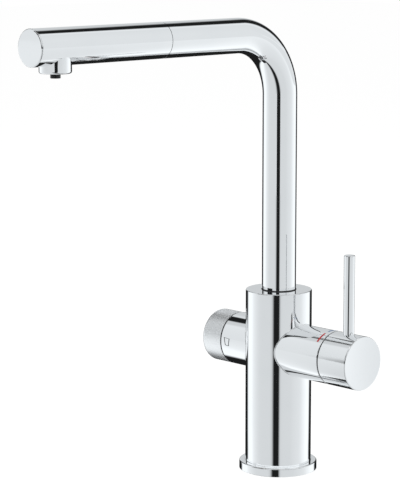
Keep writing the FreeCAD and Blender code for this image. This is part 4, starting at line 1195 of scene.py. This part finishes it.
@dataclass
class Hose(Spout):
    """The braided hose and the filtered water's tube in it, which the head pulls out of the spout."""

    hose_radius: float = 6.0
    hose_bore: float = 4.0
    tube_radius: float = 2.2
    tube_bore: float = 1.4
    low: float = 4.2
    hose_end: float = -121.85
    pull: float = 250.0
    ring_step: float = 0.5
    strands: int = STRANDS
    strand_lay: float = STRAND_LAY
    relief: float = 0.22
    crossing: float = 1.25
    run_sides: int = 4
    stretch_sides: int = 8
    plain_step: int = 20
    halvings: int = 40

    def build(self) -> None:
        """Builds the hidden runs, which stay with the spout, and the stretches that are pulled out."""
        for name, radius, bore, slot in (
                ("pull_out_hose", self.hose_radius, self.hose_bore, Slot.HOSE_BRAID),
                ("filter_tube", self.tube_radius, self.tube_bore, Slot.TUBE_PLASTIC)):
            run = self.swept(name + "_run", radius, self.low, -self.bend - self.rim,
                             self.strands * self.run_sides)
            Bench.apply_modifier(run, "SOLIDIFY", thickness=(radius - bore) * MM, offset=-1.0,
                                 use_even_offset=True)
            self.fit(run, "spout", slot, name)
            stretch = self.stretch(name + "_stretch", radius, bore, slot)
            self.dress(stretch, slot)
            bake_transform(stretch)
            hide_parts(name)
            log.info("%s runs from the spout to the head: %d faces",
                     stretch.name, len(stretch.data.polygons))

    def pulled(self, place: float) -> float:
        """Distance from the bend, at full pull, of a place along the arm."""
        share = (place + self.bend) / (self.hose_end + self.bend)
        return -(place + self.bend) + self.pull * share * share * (3.0 - 2.0 * share)

    def ring_places(self) -> list[float]:
        """Places along the arm that stand at even steps once the head is pulled out."""
        total = self.pulled(self.hose_end)
        count = round(total / self.ring_step)
        places = []
        for share in even_shares(count):
            near, far = -self.bend, self.hose_end
            for _ in range(self.halvings):
                middle = (near + far) / 2
                if self.pulled(middle) < total * share:
                    near = middle
                else:
                    far = middle
            places.append((near + far) / 2)
        return places

    def stretch(self, name: str, radius: float, bore: float, slot: Slot) -> bpy.types.Object:
        """Turns one straight stretch of a hose.

        Args:
            name: name of the piece.
            radius: outer radius.
            bore: radius of its bore.
            slot: its slot; the braid's gets the strands' relief.

        Returns:
            The piece, in object mode.
        """
        places = self.ring_places()
        if slot is not Slot.HOSE_BRAID:
            places = places[::self.plain_step] + places[-1:]
        outline = [Corner(radius, place) for place in places]
        outline += [Corner(bore, places[-1]), Corner(bore, places[0])]
        piece = Bench.turned(name, outline, Axis.Y, (0.0, 0.0, self.arm_height),
                             steps=self.strands * self.stretch_sides)
        if slot is Slot.HOSE_BRAID:
            self.weave(piece)
        return piece

    def weave(self, piece: bpy.types.Object) -> None:
        """Sinks the gaps between the crossing strands into a stretch's outer face."""
        for vertex in piece.data.vertices:
            across = vertex.co.x / MM
            rise = vertex.co.z / MM - self.arm_height
            radius = math.hypot(across, rise)
            if radius < (self.hose_radius + self.hose_bore) / 2:
                continue
            turn = math.atan2(across, rise) * self.strands
            run = self.pulled(vertex.co.y / MM) * math.tau / self.strand_lay
            over = min(1.0, max(0.0, math.sin(turn) * math.sin(run) * self.crossing + 0.5))
            right = abs(math.sin((turn + run) / 2)) * over
            left = abs(math.sin((turn - run) / 2)) * (1.0 - over)
            share = 1.0 - self.relief * (1.0 - max(right, left)) / radius
            vertex.co.x = across * share * MM
            vertex.co.z = (self.arm_height + rise * share) * MM


@dataclass
class SprayHead(SubAssembly):
    """The pull-out head: barrel, end cap, nozzle collar and black outlet."""

    height: float = ARM_HEIGHT
    radius: float = ARM_RADIUS
    wall: float = 1.5
    start: float = -121.55
    start_round: float = 0.2
    end: float = -238.3
    end_round: float = 0.1
    tip: float = -239.2
    tip_round: float = 0.9
    plug_length: float = 4.5
    film: float = 0.05
    film_round: float = 0.12
    nozzle: float = -217.4
    fine_half: float = 14.0
    fine_step: float = 0.8
    cutter_clear: float = 1.0
    collar_radius: float = 11.15
    collar_wall: float = 1.55
    collar_low: float = 313.6
    collar_round: float = 1.4
    throat_round: float = 0.25
    outlet_radius: float = 3.5
    outlet_bore: float = 2.2
    outlet_low: float = 310.3
    outlet_top: float = 326.5
    outlet_round: float = 0.35
    bore_round: float = 0.4
    outlet_sides: int = 72

    @property
    def axis_point(self) -> Place:
        """A point of the head's axis."""
        return (0.0, 0.0, self.height)

    @property
    def nozzle_point(self) -> Place:
        """A point of the nozzle's axis."""
        return (0.0, self.nozzle, 0.0)

    def build(self) -> None:
        """Builds the head's outer pieces."""
        self.build_barrel()
        self.build_end_cap()
        self.build_outlet()

    def build_barrel(self) -> None:
        """The barrel with its nozzle collar, as one piece."""
        bore = self.radius - self.wall
        fine_from, fine_to = self.nozzle + self.fine_half, self.nozzle - self.fine_half
        barrel = Bench.turned("head_shell_turned", [
            Corner(self.radius, self.start, self.start_round),
            *straight_steps(self.radius, fine_from, fine_to, self.fine_step),
            Corner(self.radius, self.end, self.end_round),
            Corner(bore, self.end),
            *straight_steps(bore, fine_to, fine_from, self.fine_step),
            Corner(bore, self.start),
        ], Axis.Y, self.axis_point)
        throat = self.collar_radius - self.collar_wall / 2
        Bench.cut(barrel, Bench.rod("throat_cutter", throat, self.collar_low - self.cutter_clear,
                                    self.height, Axis.Z, self.nozzle_point))
        inner = self.collar_radius - self.collar_wall
        collar = Bench.turned("head_collar", [
            Corner(self.collar_radius, self.height),
            Corner(self.collar_radius, self.collar_low, self.collar_round),
            Corner(inner, self.collar_low, self.throat_round),
            Corner(inner, self.height),
        ], Axis.Z, self.nozzle_point)
        Bench.cut(collar, Bench.rod("barrel_cutter", self.radius - self.wall / 2, self.start, self.tip,
                                    Axis.Y, self.axis_point))
        shell = Bench.joined(barrel, collar)
        self.fit(shell, "spray_head", Slot.CHROME_HEAD, "head_shell")

    def build_end_cap(self) -> None:
        """The cap on the head's end, with its spigot inside the barrel."""
        spigot = self.radius - self.wall - self.film
        cap = Bench.turned("head_end_cap_turned", [
            Corner(0.0, self.end + self.plug_length),
            Corner(spigot, self.end + self.plug_length),
            Corner(spigot, self.end - self.film),
            Corner(self.radius, self.end - self.film, self.film_round),
            Corner(self.radius, self.tip, self.tip_round),
            Corner(0.0, self.tip),
        ], Axis.Y, self.axis_point, closed=False)
        self.fit(cap, "spray_head", Slot.CHROME_HEAD, "head_end_cap")

    def build_outlet(self) -> None:
        """The black outlet of the filtered water."""
        outlet = Bench.turned("filter_outlet_turned", [
            Corner(self.outlet_radius, self.outlet_low, self.outlet_round),
            Corner(self.outlet_radius, self.outlet_top),
            Corner(self.outlet_bore, self.outlet_top),
            Corner(self.outlet_bore, self.outlet_low, self.bore_round),
        ], Axis.Z, self.nozzle_point, steps=self.outlet_sides)
        self.fit(outlet, "spray_head", Slot.OUTLET_PLASTIC, "filter_outlet")


@dataclass(frozen=True)
class Glow(Finish):
    """Light of a reflector, by the angle from the camera's side."""

    stops: Stops
    facing: float
    girth: float = 0.0
    cool: Place = (0.965, 1.0, 1.02)
    passes: int = 3

    def shader(self, board: Board) -> Wire:
        """A ramp of light levels by the direction in which a pillar of the given girth sees each place."""
        place = board.moved(board.object_place(), turn=(0.0, 0.0, -self.facing))
        ahead, right, _ = board.split(place)
        angle = right.angle_over(ahead)
        if self.girth:
            distance = board.node("ShaderNodeVectorMath", {"operation": "LENGTH"}, {0: place}, "Value")
            lean = self.girth * MM / distance
            seen = angle + angle * lean
            for _ in range(self.passes):
                seen = angle + (lean * (seen * 0.5).sine()).arcsine()
            angle = seen
        share = angle / math.tau + 0.5
        stops = [(degrees / 360 + 0.5, tuple(level * part for part in self.cool) + (1.0,))
                 for degrees, level in self.stops]
        colour = board.node("ShaderNodeValToRGB", {"stops": stops}, {"Fac": share})
        return board.node("ShaderNodeEmission", inputs={"Color": colour, "Strength": 1.0})


@dataclass(frozen=True)
class WhiteFloor(Finish):
    """Pale floor that shows white and keeps the object's shadow."""

    diffuse: Colour = (0.3, 0.3, 0.3, 1.0)
    level: float = 0.825

    def shader(self, board: Board) -> Wire:
        """Plain diffuse, with light of its own for seen rays."""
        plain = board.node("ShaderNodeBsdfDiffuse", inputs={"Color": self.diffuse})
        lit = board.node("ShaderNodeEmission", inputs={"Strength": board.seen_rays() * self.level})
        return board.node("ShaderNodeAddShader", inputs={0: plain, 1: lit})


def even_light(level: float) -> Stops:
    """Stops of one level all round."""
    return ((-180.0, level), (180.0, level))


@dataclass(frozen=True)
class Screen:
    """A screen turned about the tap's axis, which only polished surfaces see.

    Attributes:
        name: name of the piece.
        line: distances from the axis and heights of its outline.
        stops: its light, by the angle from the camera in degrees.
        girth: radius of the pillar that mirrors it; without one, the angles are those round the axis.
    """

    name: str
    line: tuple[Pair, ...]
    stops: Stops
    girth: float = 0.0


@dataclass(frozen=True)
class Card:
    """An upright card that only polished surfaces see.

    Attributes:
        name: name of the piece.
        span: angles of its two ends round the tap, in degrees from the camera.
        distances: how far its two ends stand from the tap's axis.
        heights: its lower and upper edge.
        level: how bright it is.
    """

    name: str
    span: Pair
    distances: Pair
    heights: Pair
    level: float


@dataclass
class Studio:
    """Camera, floor, reflectors, lamps and world."""

    cupboard: Cupboard
    camera_place: Place = (1037.8, -1085.0, 422.0)
    camera_yaw: float = 46.001
    camera_pitch: float = 8.183
    lens: float = 145.31
    shift: float = -0.10
    clip_end: float = 30.0
    floor_half: float = 6000.0
    pit_radius: float = 80.0
    pit_depth: float = 60.0
    ring_outer: float = 3200.0
    ring_top: float = 5000.0
    ring_lift: float = 0.5
    ring_kerb: float = 140.0
    pillar: float = 29.5
    lid_height: float = 1500.0
    lid_radius: float = 550.0
    strip_reach: float = 1500.0
    strip: Pair = (-29.0, 14.0)
    card_steps: int = 24
    card_depth: float = 1.0
    cards: tuple[Card, ...] = (
        Card("reflector_card_near", (-19.0, 3.5), (444.0, 592.0), (205.0, 420.0), DARK),
        Card("reflector_card_far", (-19.0, 3.5), (1500.0, 1500.0), (0.0, 145.0), DARK),
        Card("reflector_panel_left", (-140.0, -96.0), (3150.0, 3150.0), (800.0, 930.0), 1.05),
        Card("reflector_panel", (-83.0, 81.0), (3150.0, 3150.0), (800.0, 930.0), 1.05),
        Card("reflector_panel_right", (98.0, 140.0), (3150.0, 3150.0), (800.0, 930.0), 0.88),
        Card("reflector_card_low", (-80.0, 80.0), (3145.0, 3145.0), (190.0, 600.0), DARK))
    floor_stops: Stops = (
        (-180.0, DARK), (-139.5, DARK), (-130.0, 1.08), (-107.0, 1.06), (-98.0, 0.92), (-88.0, 0.84),
        (-79.0, 0.785), (-70.0, 0.745), (-60.0, 0.73), (-30.0, 0.725), (-23.0, 0.63), (-18.5, 0.25),
        (-16.2, DARK), (1.2, DARK), (4.0, 0.45), (8.0, 0.7), (15.0, 0.725), (44.0, 0.735), (54.0, 0.765),
        (66.0, 0.79), (80.0, 0.82), (88.0, 0.87), (96.0, 0.95), (104.0, 1.0), (112.0, 1.06), (118.0, 1.08),
        (132.5, 1.08), (141.5, DARK), (180.0, DARK))
    wall_stops: Stops = (
        (-180.0, 0.64), (-170.0, 0.66), (-162.0, 0.76), (-158.0, 0.82), (-153.5, DARK), (-129.0, DARK),
        (-125.0, 0.66), (-113.0, 0.66), (-107.0, 0.84), (-85.0, 0.8), (-84.0, 0.79), (-82.0, DARK),
        (-46.0, DARK), (-42.0, 0.73), (68.0, 0.74), (80.0, 0.8), (92.0, 0.81), (120.0, 0.78),
        (126.0, 0.86), (132.0, 0.86), (136.0, 0.7), (140.0, DARK), (166.0, DARK), (172.0, 0.45),
        (176.0, 0.64), (180.0, 0.64))
    pit_stops: Stops = (
        (-180.0, DARK), (-3.0, DARK), (7.0, 0.7), (125.0, 0.75), (141.0, DARK), (180.0, DARK))
    ambient: float = 0.55
    lamps: tuple[tuple[str, Place, float, float], ...] = (
        ("key_lamp", (-700.0, -900.0, 1500.0), 900.0, 9.0),
        ("fill_lamp", (1100.0, 300.0, 1300.0), 900.0, 5.0))

    @property
    def facing(self) -> float:
        """Direction of the camera round the tap."""
        return math.atan2(self.camera_place[1], self.camera_place[0])

    def build(self) -> None:
        """Sets up the whole studio."""
        self.build_camera()
        self.build_floor()
        self.build_reflectors()
        self.build_lamps()
        self.build_world()

    def build_camera(self) -> None:
        """The camera at the photograph's viewing angle."""
        data = bpy.data.cameras.new("camera")
        data.lens = self.lens
        data.shift_y = self.shift
        data.clip_end = self.clip_end
        camera = bpy.data.objects.new("camera", data)
        bpy.context.scene.collection.objects.link(camera)
        camera.location = Vector(self.camera_place) * MM
        camera.rotation_euler = (math.radians(90.0 - self.camera_pitch), 0.0, math.radians(self.camera_yaw))
        bpy.context.scene.camera = camera

    def build_floor(self) -> None:
        """The floor, a wide plane under the tap."""
        bpy.ops.object.select_all(action="DESELECT")
        bpy.ops.mesh.primitive_plane_add(size=2 * self.floor_half * MM)
        floor = bpy.context.object
        floor.name = "floor"
        floor.data.materials.append(self.cupboard.take(WhiteFloor("floor_white")))
        floor.visible_glossy = False

    def screens(self) -> list[Screen]:
        """The floor's reflection with a pit under the tap, the apron round it, the wall and the lid."""
        pit, reach, outer = self.pit_radius, self.strip_reach, self.ring_outer
        low, lift, kerb = -self.pit_depth, self.ring_lift, self.ring_kerb
        first, last = self.strip
        apron_stops = tuple(stop for stop in self.floor_stops if not first < stop[0] < last)
        lid = ((0.0, self.lid_height), (self.lid_radius, self.lid_height))
        return [
            Screen("reflector_floor", ((pit, low), (pit, lift), (reach, lift)),
                   self.floor_stops, self.pillar),
            Screen("reflector_pit", ((0.0, low), (pit, low)), self.pit_stops),
            Screen("reflector_apron", ((reach, lift), (outer, lift), (outer, kerb)),
                   apron_stops, self.pillar),
            Screen("reflector_wall", ((outer, kerb), (outer, self.ring_top)), self.wall_stops),
            Screen("reflector_lid", lid, even_light(DARK)),
        ]

    def build_reflectors(self) -> None:
        """The bright and dark screens and cards that only polished surfaces see."""
        for screen in self.screens():
            corners = [Corner(*place) for place in screen.line]
            made = Bench.turned(screen.name, corners, Axis.Z, ORIGIN, closed=False)
            self.stage_reflector(made, screen.stops, screen.girth)
        for card in self.cards:
            self.build_card(card)

    def build_card(self, card: Card) -> None:
        """One upright card, bent round the tap."""
        low, high = card.heights
        places = []
        for share in even_shares(self.card_steps):
            angle = self.facing + math.radians(blend(card.span, share))
            reach = blend(card.distances, share)
            places.append(Vector((reach * math.cos(angle), reach * math.sin(angle), (low + high) / 2)))
        made = Bench.ribbon(card.name, places, Vector((0.0, 0.0, high - low)), self.card_depth)
        self.stage_reflector(made, even_light(card.level))

    def stage_reflector(self, reflector: bpy.types.Object, stops: Stops, girth: float = 0.0) -> None:
        """Gives a reflector its light and keeps it out of everything but reflections."""
        glow = self.cupboard.take(Glow(reflector.name + "_glow", stops, self.facing, girth))
        glow.cycles.emission_sampling = "NONE"
        reflector.data.materials.append(glow)
        reflector.visible_camera = False
        reflector.visible_diffuse = False
        reflector.visible_shadow = False

    def build_lamps(self) -> None:
        """Soft lamps from above, at a plain level."""
        for name, place, side, power in self.lamps:
            data = bpy.data.lights.new(name, "AREA")
            data.size = side * MM
            data.energy = power
            lamp = bpy.data.objects.new(name, data)
            bpy.context.scene.collection.objects.link(lamp)
            lamp.location = Vector(place) * MM
            lamp.rotation_euler = (-Vector(place)).to_track_quat("-Z", "Y").to_euler()
            lamp.visible_glossy = False

    def build_world(self) -> None:
        """A white world for seen rays and a softer one for the rest."""
        world = bpy.data.worlds.new("studio_world")
        world.use_nodes = True
        bpy.context.scene.world = world
        board = Board(world.node_tree)
        level = self.ambient + board.seen_rays() * (1.0 - self.ambient)
        sky = board.node("ShaderNodeBackground", inputs={"Color": (1.0, 1.0, 1.0, 1.0), "Strength": level})
        board.node("ShaderNodeOutputWorld", inputs={"Surface": sky})
        bpy.context.scene.view_settings.view_transform = "Standard"


def dress_frame(cupboard: Cupboard) -> None:
    """Gives each of the frame's own nodes the finish of its slot."""
    for subpart in frame["record"]["subparts"]:
        node = frame["nodes"][subpart["node"]]
        slot = Slot(subpart["material_slot"])
        node.data.materials.clear()
        node.data.materials.append(cupboard.take(FINISHES[slot]))
        log.info("%s keeps its shape and takes %s", subpart["node"], slot.value)


def main() -> None:
    """Builds and dresses the tap and its studio, in order."""
    logging.basicConfig(level=logging.INFO, format="%(name)s: %(message)s")
    cupboard = Cupboard()
    dress_frame(cupboard)
    for group in (Pillar(cupboard), MixerSide(cupboard), FilterSide(cupboard), Spout(cupboard),
                  Hose(cupboard), SprayHead(cupboard)):
        group.build()
    Studio(cupboard).build()


if __name__ == "__main__":
    main()
